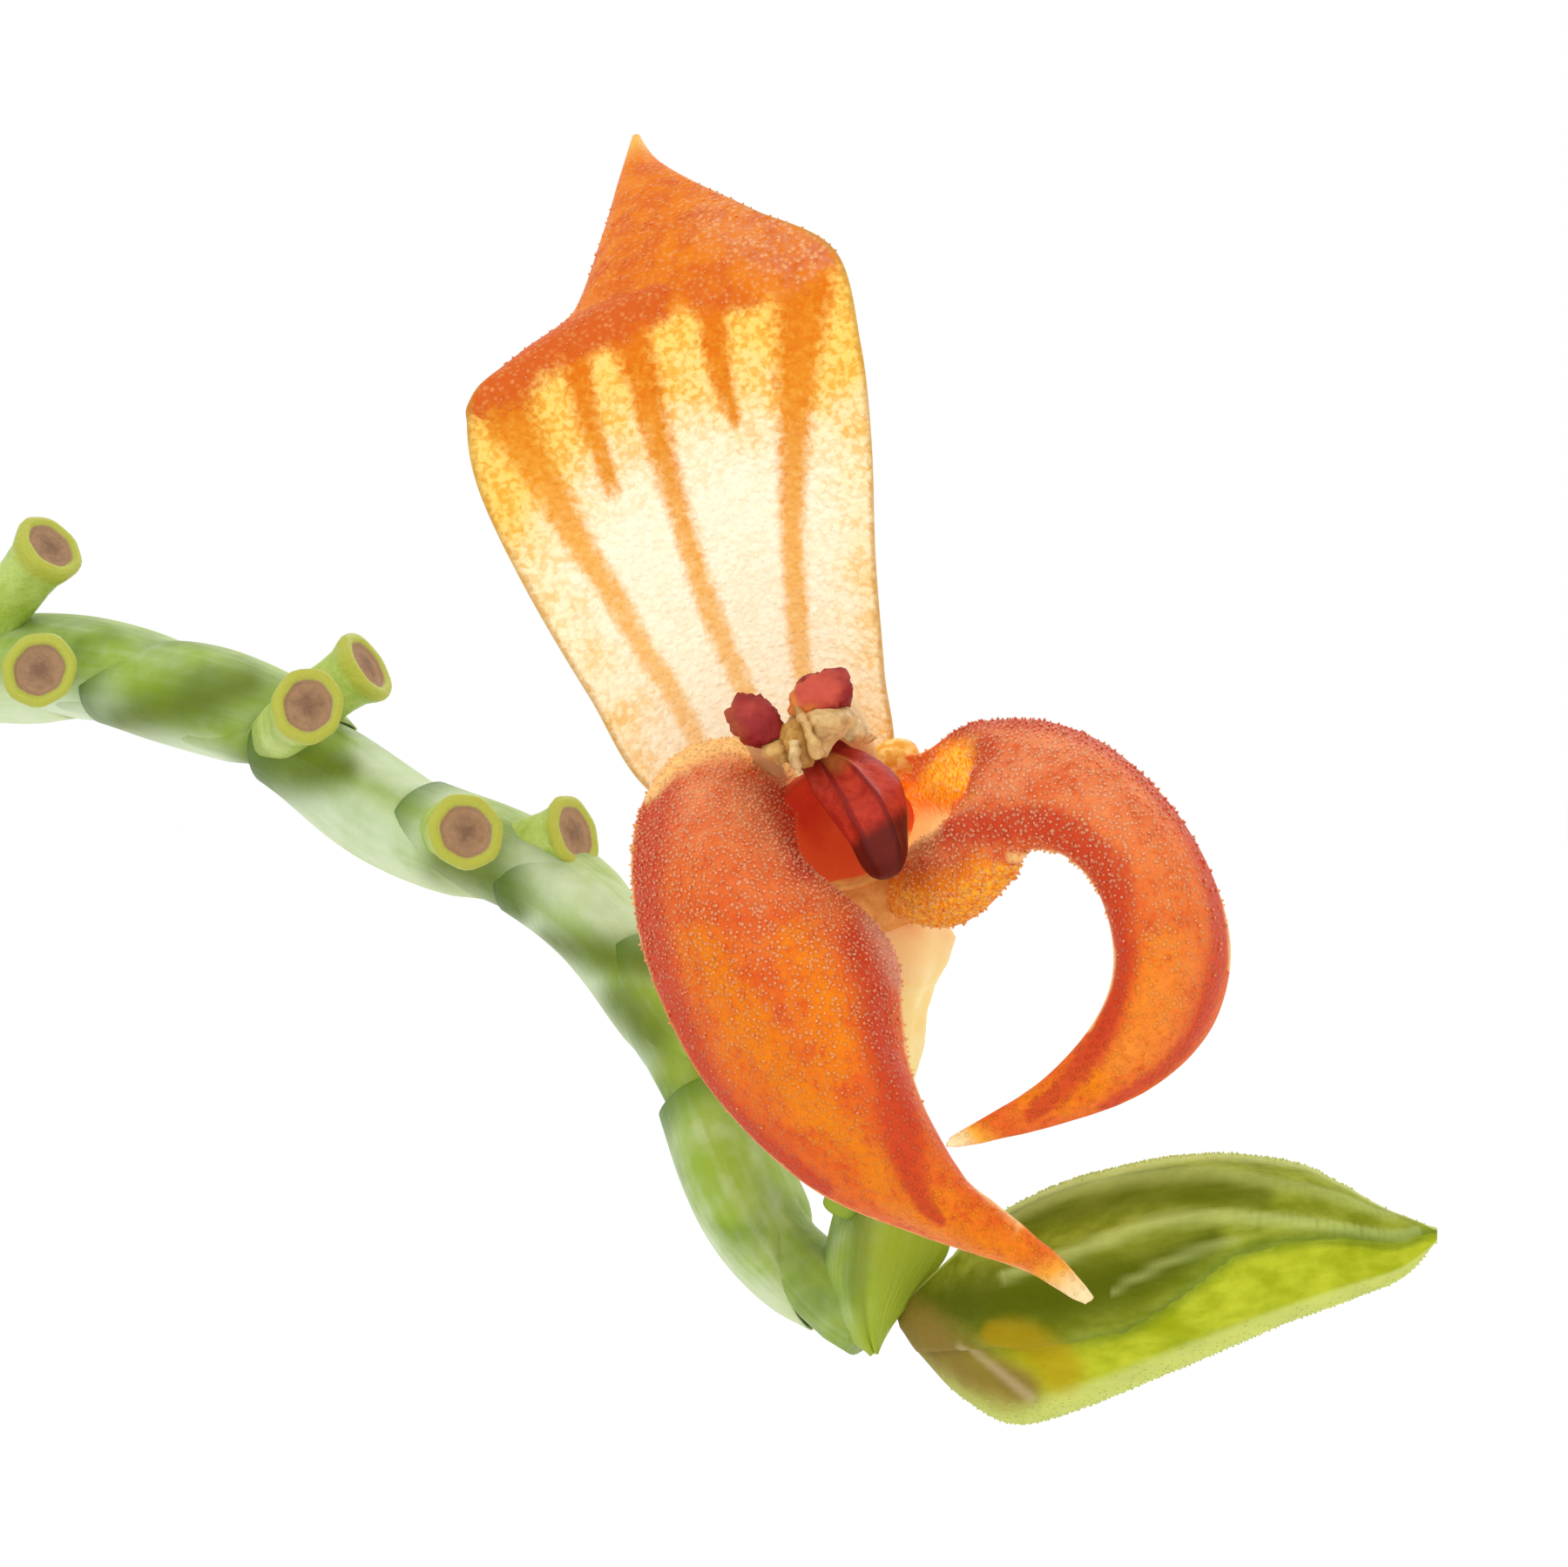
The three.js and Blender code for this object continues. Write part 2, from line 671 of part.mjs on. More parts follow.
const COLUMN = [
  [0.6, 0.15, 1.2],
  [0.48, 0.42, 0.2],
  [0.34, 0.62, -0.8],
  [0.27, 0.7, -1.5],
];

const PETAL_RADII = [0.26, 0.26, 0.26, 0.3, 0.4, 0.42, 0.24];
const COLUMN_RADII = [0.3, 0.3, 0.3, 0.32, 0.34, 0.34, 0.24];

const STALK = [
  [1.62, -2.8, 1.1],
  [1.69, -3.3, 1.4],
  [1.74, -3.57, 1.7],
  [1.71, -4.29, 2.1],
  [1.54, -5.29, 2.6],
  [1.2, -6.3, 3.1],
  [0.95, -6.95, 3.5],
];

const BUD_TOP = [
  [1.95, -8.66, 3.6],
  [2.29, -8.14, 3.4],
  [3.57, -6.97, 3.0],
  [4.71, -6.39, 3.0],
  [6.0, -6.07, 2.5],
  [7.14, -5.97, 2.2],
  [8.29, -6.14, 2.0],
  [9.14, -6.54, 1.8],
  [10.0, -7.04, 1.6],
  [10.71, -7.28, 1.4],
];

const BUD_BOTTOM = [
  [1.95, -9.0, 3.6],
  [2.14, -9.43, 3.4],
  [2.86, -10.03, 3.0],
  [3.79, -10.37, 3.0],
  [4.79, -10.16, 2.6],
  [6.14, -9.64, 2.2],
  [7.86, -8.93, 2.0],
  [9.14, -8.46, 1.8],
  [10.11, -8.09, 1.6],
  [10.71, -7.5, 1.4],
];

// A sepal: full thickness over most of its width, thinner at the rim, the foot and the tip.
function makeSepal(lines, lengthSteps, grow = 0) {
  return blade({
    outer: lines.outer.map(seen),
    middle: lines.middle.map(seen),
    inner: lines.inner.map(seen),
    roll: 2.2,
    thick: (u, v) => {
      const rim = mix(BLADE.sepal, BLADE.edge, Math.abs(v) ** 3);
      return mix(rim, BLADE.edge, Math.max(0, u - 0.85) / 0.15) + grow;
    },
    lengthSteps,
    widthSteps: 6,
  });
}

function makeLip(grow = 0) {
  return blade({
    outer: LIP.outer.map(seen),
    middle: LIP.middle.map(seen),
    inner: LIP.inner.map(seen),
    roll: 2,
    over: 1 + grow,
    thick: () => BLADE.lip + 2 * grow,
    lengthSteps: 8,
    widthSteps: 4,
  });
}

function makePetal(points, grow = 0) {
  return rod(points.map(seen), PETAL_RADII.map((r) => r + grow), 8, 8);
}

// The flower's seat, on top of its ovary, where the sepals join.
function makeSeat() {
  const geometry = new THREE.SphereGeometry(1, 12, 8);
  geometry.scale(1.15, 0.8, 1.2);
  const at = seen([1.05, -1.25, 1.7]);
  return solidOf(geometry.translate(at.x, at.y, at.z));
}

function makeColumn(grow = 0) {
  return rod(COLUMN.map(seen), COLUMN_RADII.map((r) => r + grow), 8, 8);
}

function makePetals(grow) {
  return makePetal(PETALS.left, grow).add(makePetal(PETALS.right, grow));
}

// Nothing in the bloom's throat touches: each piece is cut clear of those before it, the sepals last.
const leftPetal = largest(makePetal(PETALS.left).subtract(makeLip(GAP)));
const rightPetal = largest(makePetal(PETALS.right).subtract(makeLip(GAP)));
const column = largest(makeColumn().subtract(makeLip(GAP).add(makePetals(GAP / 2))));
const throat = joined([makeLip(GAP), makePetals(GAP), makeColumn(GAP), makeSepal(DORSAL, 18, 2 * GAP)]);
const laterals = largest(joined([makeSeat(), makeSepal(LEFT, 20), makeSepal(RIGHT, 24)]).subtract(throat));

function makeStalk() {
  return rod(STALK.map(seen), [0.8, 0.75, 0.52, 0.5, 0.6, 0.56, 0.4, 0.36, 0.36, 0.36, 0.36], 8, 10);
}

// The bud: three sepals still shut, so its section has three soft lobes with a seam between each two.
function makeBud() {
  const top = curveThrough(BUD_TOP.map(seen));
  const bottom = curveThrough(BUD_BOTTOM.map(seen));
  const rings = [];
  const steps = 16;
  for (let i = 0; i <= steps; i += 1) {
    const t = i / steps;
    const [high, low] = [top.getPoint(t), bottom.getPoint(t)];
    const tall = high.clone().sub(low).multiplyScalar(0.5);
    const middle = high.clone().add(low).multiplyScalar(0.5);
    const lobes = (angle) => 1 + 0.07 * Math.cos(3 * (angle - 0.5));
    const section = (angle) => [Math.cos(angle) * lobes(angle), Math.sin(angle) * lobes(angle)];
    const deep = TO_EYE.clone().multiplyScalar(tall.length() * 0.86);
    rings.push(ring(middle, deep, tall, 14, section));
  }
  return loft(rings);
}

// Materials: colour, roughness
function finish(color, roughness) {
  return new THREE.MeshStandardMaterial({ color, roughness, metalness: 0, side: THREE.DoubleSide });
}

const CLAY = finish(0xb5653f, 0.85);
const BARK_BROWN = finish(0x5a3a24, 0.9);
const LEAF_GREEN = finish(0x3f7a33, 0.4);
const SPIKE_GREEN = finish(0x8fb84a, 0.45);
const ORANGE = finish(0xe8602c, 0.45);
const PALE_ORANGE = finish(0xf3c87a, 0.4);
const DARK_RED = finish(0x9a1f26, 0.4);
const CREAM = finish(0xd9be84, 0.45);
const YELLOW = finish(0xf2df8e, 0.45);
const BUD_GREEN = finish(0x9aab2e, 0.45);

const plant = new THREE.Group();

function show(name, solid, material) {
  const mesh = new THREE.Mesh(geometryOf(solid), material);
  mesh.name = name;
  plant.add(mesh);
}

show("pot", makePot(), CLAY);
show("bark_mix", makeBark(), BARK_BROWN);
SHOOTS.forEach((shoot, i) => {
  show(`leaf_shoot_${String(i + 1).padStart(2, "0")}`, makeShoot(shoot), LEAF_GREEN);
});
show("flower_spike", makeSpike(), SPIKE_GREEN);
show("flower_stalk", makeStalk(), YELLOW);
show("dorsal_sepal", makeSepal(DORSAL, 18), PALE_ORANGE);
show("lateral_sepals", laterals, ORANGE);
show("petal_left", leftPetal, DARK_RED);
show("petal_right", rightPetal, DARK_RED);
show("column", column, CREAM);
show("lip", makeLip(), DARK_RED);
show("flower_bud", makeBud(), BUD_GREEN);

export default plant;
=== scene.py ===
# %% [markdown]
# # A small tufted orchid in a clay pot
# The plant comes in as a imported frame: plain solids that say how big everything is and where it
# stands. This lesson dresses that frame. It makes each visible part again in fine mesh, paints it
# with procedural materials, and sets a camera to see the bloom as a macro picture does.

# %% Load the imported frame
import math

import bpy
import numpy as np
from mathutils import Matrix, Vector, noise


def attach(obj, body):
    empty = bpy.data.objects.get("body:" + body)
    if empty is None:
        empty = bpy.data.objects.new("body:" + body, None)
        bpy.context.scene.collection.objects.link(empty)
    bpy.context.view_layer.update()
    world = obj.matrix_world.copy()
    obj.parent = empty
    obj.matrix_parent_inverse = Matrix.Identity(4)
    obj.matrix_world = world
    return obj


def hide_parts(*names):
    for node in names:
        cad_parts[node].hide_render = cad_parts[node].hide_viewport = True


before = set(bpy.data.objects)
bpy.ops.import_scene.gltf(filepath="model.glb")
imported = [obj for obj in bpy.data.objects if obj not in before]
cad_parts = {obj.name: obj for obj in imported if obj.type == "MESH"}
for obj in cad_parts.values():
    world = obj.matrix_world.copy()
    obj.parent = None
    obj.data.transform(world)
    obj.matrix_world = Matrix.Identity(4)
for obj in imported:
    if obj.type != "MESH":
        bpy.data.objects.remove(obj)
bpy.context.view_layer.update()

# %% [markdown]
# ## Camera
# The bloom is 90 mm to the side of the pot and 205 mm up. A macro lens looks at it level, from
# 200 mm in front. The long focal length makes the picture 25.7 mm wide at the bloom. Sizes are written
# in millimetres here, and one factor turns them into Blender's metres.

# %% Place the camera
MM = 0.001
BLOOM_AT = np.array([90.0, 0.0, 205.0])
EYE = 200.0
lens = bpy.data.cameras.new("macro_lens")
lens.lens = 280
lens.sensor_width = 36
lens.clip_start = 0.01
lens.clip_end = 200
camera = bpy.data.objects.new("macro_camera", lens)
camera.location = (BLOOM_AT - (0, EYE, 0)) * MM
camera.rotation_euler = (math.radians(90), 0, 0)
bpy.context.collection.objects.link(camera)
bpy.context.scene.camera = camera
print("camera at", tuple(camera.location))

# %% [markdown]
# ## Light and floor
# The picture is high-key: a white surround, with light that comes from everywhere and a little more
# from above. One soft lamp in front and one behind, both high up, give the sheen on the papillae. A
# plain white world would do for the bloom alone, but the pot needs a floor to throw its shadow on.
# The floor is so wide that it fills the picture below the horizon.

# %% Light and floor
scene = bpy.context.scene
scene.view_settings.view_transform = "Standard"
world = bpy.data.worlds.new("white_surround")
world.use_nodes = True
world.node_tree.nodes["Background"].inputs["Color"].default_value = (1, 1, 1, 1)
world.node_tree.nodes["Background"].inputs["Strength"].default_value = 1.0
scene.world = world


def soft_lamp(name, at, aim, size, power):
    lamp = bpy.data.lights.new(name, "AREA")
    lamp.shape = "DISK"
    lamp.size = size
    lamp.energy = power
    holder = bpy.data.objects.new(name, lamp)
    holder.location = at
    holder.rotation_euler = (Vector(aim) - Vector(at)).to_track_quat("-Z", "Y").to_euler()
    bpy.context.collection.objects.link(holder)


soft_lamp("key_lamp", (-0.25, -0.55, 0.75), (0.06, 0, 0.17), 0.35, 0.9)
soft_lamp("back_lamp", (0.35, 0.6, 0.7), (0.06, 0, 0.17), 0.5, 1.2)


def circle(count):
    """Angles round a ring, evenly spaced."""
    return np.linspace(0, 2 * math.pi, count + 1)[:-1]


FLOOR_RADIUS = 40
edge = [(FLOOR_RADIUS * math.cos(a), FLOOR_RADIUS * math.sin(a), 0) for a in circle(96)]
floor_mesh = bpy.data.meshes.new("floor")
floor_mesh.from_pydata(edge, [], [list(range(len(edge)))])
floor = bpy.data.objects.new("floor", floor_mesh)
bpy.context.collection.objects.link(floor)
print("lamps 2, floor", 2 * FLOOR_RADIUS, "m across")

# %% [markdown]
# ## Lines
# Every form here starts as a few smooth lines. Bezier curves need handles; Catmull-Rom curves pass
# through their points without any, and the solids were drawn with them, so the same formula keeps the
# dressed pieces on the solids. The bloom's lines are written as they are seen from in front: across,
# up, and how far behind.

# %% Smooth lines and points as seen
def seen(rows):
    """Points of the plant from rows of across, up and behind, as the camera sees them."""
    rows = np.asarray(rows, float)
    near = 1 + rows[..., 2:3] / EYE
    return BLOOM_AT + rows[..., [0, 2, 1]] * np.concatenate([near, near * 0 + 1, near], -1)


def as_seen(points):
    """Across and up of points, as the camera sees them."""
    away = points - BLOOM_AT
    return away[..., [0, 2]] / (1 + away[..., 1:2] / EYE)


def smooth_line(points):
    points = np.asarray(points, float)
    ends = np.vstack([2 * points[0] - points[1], points, 2 * points[-1] - points[-2]])

    def at(t):
        t = np.clip(np.asarray(t, float), 0, 1) * (len(points) - 1)
        i = np.minimum(t.astype(int), len(points) - 2)
        w = (t - i)[..., None]
        a, b, c, d = (ends[i + k] for k in range(4))
        curve = 2 * b + (c - a) * w + (2 * a - 5 * b + 4 * c - d) * w**2
        return 0.5 * (curve + (3 * b - a - 3 * c + d) * w**3)

    return at


def mix(a, b, t):
    return a + (b - a) * t


def ease(low, high, x):
    t = np.clip((x - low) / (high - low), 0, 1)
    return t * t * (3 - 2 * t)


def unit(vectors):
    return vectors / np.linalg.norm(vectors, axis=-1, keepdims=True)


def bumpy(points, per_mm, seed):
    """Smooth noise between -1 and 1 at each point."""
    spots = points.reshape(-1, 3) * per_mm + seed
    return np.array([noise.noise(Vector(spot)) for spot in spots]).reshape(points.shape[:-1])


def rumpled(flat, third, per_mm, seed):
    """The same noise for points as seen from in front, with a third coordinate of their own."""
    third = np.broadcast_to(third, flat.shape[:-1])[..., None]
    return bumpy(np.concatenate([flat, third], -1), per_mm, seed)


def drawn(flat, line, soft):
    """A line painted on the bloom: 1 on it, fading out at its half-width. Rows are x, z, half-width."""
    samples = smooth_line(line)(np.linspace(0, 1, 80))
    far = np.full(flat.shape[:-1], 9.0)
    for x, z, half in samples:
        far = np.minimum(far, np.hypot(flat[..., 0] - x, flat[..., 1] - z) / half)
    return 1 - ease(1 - soft, 1 + soft, far)


def all_drawn(flat, lines, soft):
    """Several painted lines as one mark."""
    return np.max([drawn(flat, line, soft) for line in lines], axis=0)


def widened(line, factor):
    """A painted line with its half-widths multiplied."""
    return [(x, z, factor * half) for x, z, half in line]


def above(flat, line, blur):
    """1 above a line of x, z points, 0 below it."""
    xs, zs = np.array(line).T
    return ease(-blur, blur, flat[..., 1] - np.interp(flat[..., 0], xs, zs))


print("line helpers ready")

# %% [markdown]
# ## Skins
# A petal, a stem or a bract is one closed skin: a row of rings, joined ring to ring, with a fan over
# each end. Blender's Screw or Curve bevel could make some of them, but not a petal that changes its
# section all along, so one helper makes them all. It keeps a UV map and any painted marks on the
# points, and turns the faces outwards by the sign of the enclosed volume.

# %% Rings to a closed skin
PIECES = []


def skin(rings, uv=None, marks=None):
    """Points, faces, corner UVs and marks of a closed skin. uv has one column more than the rings."""
    rings = np.asarray(rings, float)
    n, m = rings.shape[:2]
    points = np.vstack([rings.reshape(-1, 3), rings[0].mean(0), rings[-1].mean(0)])
    i, j = (k.ravel() for k in np.meshgrid(np.arange(n - 1), np.arange(m), indexing="ij"))
    k = (j + 1) % m
    quads = np.stack([i * m + j, i * m + k, (i + 1) * m + k, (i + 1) * m + j], 1)
    if uv is None:
        u, v = np.meshgrid(np.linspace(0, 1, n), np.linspace(0, 1, m + 1), indexing="ij")
        uv = np.stack([u, v], -1)
    corner = np.stack([uv[i, j], uv[i, j + 1], uv[i + 1, j + 1], uv[i + 1, j]], 1)
    cols = np.arange(m)
    nxt = (cols + 1) % m
    last = (n - 1) * m
    fans = np.vstack([
        np.stack([np.full(m, n * m), nxt, cols], 1),
        np.stack([np.full(m, n * m + 1), last + cols, last + nxt], 1),
    ])
    middle = [uv[r].mean(0)[None].repeat(m, 0) for r in (0, -1)]
    fan_uv = np.vstack([
        np.stack([middle[0], uv[0, 1:], uv[0, :-1]], 1),
        np.stack([middle[1], uv[-1, :-1], uv[-1, 1:]], 1),
    ])
    a, b, c, d = (points[quads[:, q]] for q in range(4))
    volume = np.einsum("ij,ij->", a, np.cross(b, c)) + np.einsum("ij,ij->", a, np.cross(c, d))
    if volume < 0:
        quads, corner, fans, fan_uv = quads[:, ::-1], corner[:, ::-1], fans[:, ::-1], fan_uv[:, ::-1]
    spread = {}
    for name, value in (marks or {}).items():
        value = np.asarray(value, float)
        spread[name] = np.concatenate([value.ravel(), [value[0].mean(), value[-1].mean()]])
    return {
        "points": points, "quads": quads, "fans": fans, "corner": corner, "fan_uv": fan_uv, "marks": spread,
    }


def piece(name, skins, material):
    """One object from one or more skins, in metres, smooth, with its UV map and its marks."""
    points, faces, corners, marks, shift = [], [], [], {}, 0
    for part in skins:
        points.append(part["points"])
        faces += (part["quads"] + shift).tolist() + (part["fans"] + shift).tolist()
        corners += [part["corner"].reshape(-1, 2), part["fan_uv"].reshape(-1, 2)]
        for mark in part["marks"]:
            marks.setdefault(mark, [])
        shift += len(part["points"])
    mesh = bpy.data.meshes.new(name)
    mesh.from_pydata((np.vstack(points) * MM).tolist(), [], faces)
    layer = mesh.uv_layers.new(name="UVMap")
    layer.data.foreach_set("uv", np.vstack(corners).ravel())
    for mark in marks:
        values = [part["marks"].get(mark, np.zeros(len(part["points"]))) for part in skins]
        mesh.attributes.new(mark, "FLOAT", "POINT").data.foreach_set("value", np.concatenate(values))
    mesh.polygons.foreach_set("use_smooth", [True] * len(faces))
    mesh.materials.append(material)
    mesh.update()
    made = bpy.data.objects.new(name, mesh)
    bpy.context.collection.objects.link(made)
    PIECES.append(made)
    print(name, len(faces), "faces")
    return made


def belongs(made, slot, *nodes):
    """Rides on the plant's one body and stands for its solids. The slot is not used."""
    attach(made, "root")
    if nodes:
        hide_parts(*nodes)


print("skin helpers ready")

# %% [markdown]
# A blade is a skin between two edge lines. A middle line lifts it, and it is thickest in its middle
# and thins to a round edge. Relief pushes it in or out along its own normal.

# %% Blades and rods
def blade(rows, steps, wide, thick, relief, paint, roll=2.2):
    """thick, relief and paint take u along the blade and v across it. flat is each point as seen."""
    u = np.linspace(0, 1, steps + 1)
    v = np.sin(np.linspace(-math.pi / 2, math.pi / 2, wide + 1))[None, :, None]
    a, m, b = (smooth_line(seen(rows[k]))(u)[:, None, :] for k in ("outer", "middle", "inner"))
    face = m + (b - a) / 2 * v + ((a + b) / 2 - m) * np.abs(v) ** roll
    normal = unit(np.cross(np.gradient(face, axis=0), np.gradient(face, axis=1)))
    if normal[steps // 2, wide // 2, 1] > 0:
        normal = -normal
    uu, vv = np.broadcast_arrays(u[:, None], v[..., 0])
    flat = as_seen(face)
    face = face + normal * relief(uu, vv, flat)[..., None]
    half = thick(uu, vv) / 2 * np.sqrt(np.clip(1 - vv**2, 0, 1)) ** 0.6
    top = face + normal * half[..., None]
    under = face - normal * half[..., None]
    rings = np.concatenate([top, under[:, -2:0:-1]], 1)
    across = (vv + 1) / 2
    back = np.concatenate([across, across[:, -2::-1]], 1)
    uv = np.stack([np.broadcast_to(u[:, None], back.shape), back], -1)
    marks = {}
    for name, value in {"rim": np.abs(vv), **paint(uu, vv, flat)}.items():
        value = np.broadcast_to(value, uu.shape)
        marks[name] = np.concatenate([value, value[:, -2:0:-1]], 1)
    return skin(rings, uv, marks)


def hoops(centres, side, up, radius, angle):
    """A ring of points round each centre, in the plane of its two directions."""
    sideways = side[:, None] * (radius * np.cos(angle))[..., None]
    return centres[:, None] + sideways + up[:, None] * (radius * np.sin(angle))[..., None]


def rod(path, radii, around, shape=None, hint=(0, -1, 0), marks=None):
    """A rod of changing radius. shape(t, angle) multiplies the radius; the path is an array of points."""
    onward = unit(np.gradient(path, axis=0))
    side = unit(np.cross(onward, np.array(hint, float)))
    up = np.cross(side, onward)
    t = np.linspace(0, 1, len(path))
    angle = circle(around)
    radius = np.interp(t, np.linspace(0, 1, len(radii)), radii)[:, None]
    tt, aa = np.broadcast_arrays(t[:, None], angle[None, :])
    radius = radius * (shape(tt, aa) if shape else 1)
    rings = hoops(path, side, up, radius, aa)
    painted = {name: np.broadcast_to(value(tt, aa, rings), tt.shape) for name, value in (marks or {}).items()}
    return skin(rings, None, painted)


print("blades and rods ready")

# %% [markdown]
# ## Shader maths
# A material is a small sum over the surface. Node by node, such a sum is hard to read in a script, so
# this class wraps one socket: sums are then written as Python expressions, and one method makes every
# other node.

# %% Wires
class Wire:
    """One socket of a node tree. Arithmetic on it adds Math nodes."""

    def __init__(self, tree, socket=None):
        self.tree, self.socket = tree, socket

    def plug(self, socket, value):
        if isinstance(value, Wire):
            self.tree.links.new(value.socket, socket)
        elif isinstance(value, tuple) and len(value) == 3 and socket.type == "RGBA":
            socket.default_value = (*value, 1)
        else:
            socket.default_value = value

    def node(self, kind, settings=None, sockets=None, out=0):
        """A new node with its settings, then its sockets' values or links. Gives one of its outputs."""
        made = self.tree.nodes.new(kind)
        for name, value in (settings or {}).items():
            if name == "stops":
                stops = made.color_ramp.elements
                for index, (at, colour) in enumerate(value):
                    stop = stops[index] if index < 2 else stops.new(at)
                    stop.position, stop.color = at, (*colour, 1)
            else:
                setattr(made, name, value)
        for key, value in (sockets or {}).items():
            self.plug(made.inputs[key], value)
        return Wire(self.tree, made.outputs[out])

    def maths(self, operation, a, b):
        return self.node("ShaderNodeMath", {"operation": operation}, {0: a, 1: b})

    def __add__(self, other):
        return self.maths("ADD", self, other)

    def __sub__(self, other):
        return self.maths("SUBTRACT", self, other)

    def __rsub__(self, other):
        return self.maths("SUBTRACT", other, self)

    def __mul__(self, other):
        return self.maths("MULTIPLY", self, other)

    __radd__, __rmul__ = __add__, __mul__

    def step(self, low, high):
        """0 below low and 1 above high, smooth between."""
        smooth = {"interpolation_type": "SMOOTHSTEP"}
        return self.node("ShaderNodeMapRange", smooth, {0: self, 1: low, 2: high})

    def tint(self, zero, one):
        """The colour zero where this is 0, and one where it is 1."""
        return self.node("ShaderNodeMix", {"data_type": "RGBA"}, {0: self, 6: zero, 7: one}, 2)

    def ramp(self, *stops):
        return self.node("ShaderNodeValToRGB", {"stops": stops}, {0: self})

    def mark(self, name):
        return self.node("ShaderNodeAttribute", {"attribute_name": name}, out="Fac")

    def place(self, stretch=(1, 1, 1)):
        """Object coordinates in millimetres from the bloom's middle."""
        here = self.node("ShaderNodeTexCoord", out="Object")
        scale = tuple(1000 * s for s in stretch)
        return self.node("ShaderNodeMapping", None, {0: here, 1: tuple(-BLOOM_AT), 3: scale})

    def grain(self, where, per_mm, detail=3, rough=0.55, twist=0.0):
        """Noise with this many grains to a millimetre."""
        sockets = {"Vector": where, "Scale": per_mm, "Detail": detail, "Roughness": rough}
        return self.node("ShaderNodeTexNoise", None, {**sockets, "Distortion": twist}, "Fac")

    def beads(self, where, per_mm):
        """Round dots about 1 / per_mm apart: 1 in their middles, 0 between them."""
        sockets = {"Vector": where, "Scale": per_mm}
        far = self.node("ShaderNodeTexVoronoi", {"feature": "F1"}, sockets, "Distance")
        return 1 - far.step(0.1, 0.6)

    def uv(self, stretch=(1, 1, 1)):
        here = self.node("ShaderNodeUVMap", {"uv_map": "UVMap"})
        return self.node("ShaderNodeMapping", None, {0: here, 3: stretch})


def ink(code):
    """A colour code as Blender's linear red, green and blue."""
    parts = [int(code[i : i + 2], 16) / 255 for i in (1, 3, 5)]
    return tuple(c / 12.92 if c < 0.04045 else ((c + 0.055) / 1.055) ** 2.4 for c in parts)


def begin(name):
    material = bpy.data.materials.new(name)
    material.use_nodes = True
    print("material", name)
    return material, Wire(material.node_tree)


def settle(pen, colour, rough, height=None, depth_mm=0.02, glow=0.0, emit=None, **fixed):
    """Joins colour, roughness and bump to the shader. What is the same all over is set on its sockets."""
    sockets = pen.tree.nodes["Principled BSDF"].inputs
    pen.plug(sockets["Base Color"], colour)
    pen.plug(sockets["Roughness"], rough)
    if height is not None:
        relief = {"Height": height, "Distance": depth_mm * MM, "Strength": 1.0}
        pen.plug(sockets["Normal"], pen.node("ShaderNodeBump", None, relief))
    if glow:
        pen.plug(sockets["Emission Color"], emit or colour)
        sockets["Emission Strength"].default_value = glow
    for name, value in fixed.items():
        sockets[name.replace("_", " ")].default_value = value


WHITE_FLOOR, pen = begin("white_floor")
rough = pen.grain(pen.place(), 0.02).step(0.0, 1.0) * 0.2 + 0.6
settle(pen, (0.93, 0.93, 0.93), rough, glow=0.14, Specular_IOR_Level=0.1)
floor_mesh.materials.append(WHITE_FLOOR)
print("shader helpers ready")

# %% [markdown]
# ## The dorsal sepal
# It stands up behind the bloom like a lit window: cream, with orange veins that fan out and fade
# towards its foot, and an opaque orange tip that folds forward. The veins could be a picture wrapped on
# the sepal. Here they are painted on the mesh as soft lines, which stay with its points, and noise in
# the material frays their edges.

# %% Dorsal sepal lines
DORSAL = {
    "outer": [
        (0.1, -1.1, 3.1), (-2.1, -0.21, 2.4), (-3.2, 1.43, 1.9), (-4.25, 3.21, 1.5), (-5.0, 4.79, 1.2),
        (-5.2, 5.86, 1.0), (-5.03, 6.4, 0.9), (-3.57, 7.43, 1.8), (-2.97, 8.79, 3.2), (-2.69, 9.79, 4.2),
        (-2.48, 10.5, 5.0),
    ],
    "middle": [
        (0.36, -1.0, 3.3), (-0.1, -0.07, 2.9), (-0.54, 1.57, 2.4), (-0.97, 3.29, 1.9), (-1.43, 4.86, 1.4),
        (-1.79, 6.21, 0.9), (-2.11, 7.46, 0.9), (-2.26, 8.5, 1.9), (-2.36, 9.43, 3.2), (-2.4, 10.0, 4.2),
        (-2.41, 10.53, 5.0),
    ],
    "inner": [
        (0.75, -0.95, 3.1), (1.75, 0.29, 2.4), (1.64, 1.86, 1.9), (1.5, 3.71, 1.5), (1.44, 5.57, 1.1),
        (1.26, 7.21, 0.8), (0.83, 8.76, 0.9), (-0.46, 9.39, 1.8), (-1.5, 9.87, 3.2), (-2.04, 10.19, 4.2),
        (-2.34, 10.54, 5.0),
    ],
}
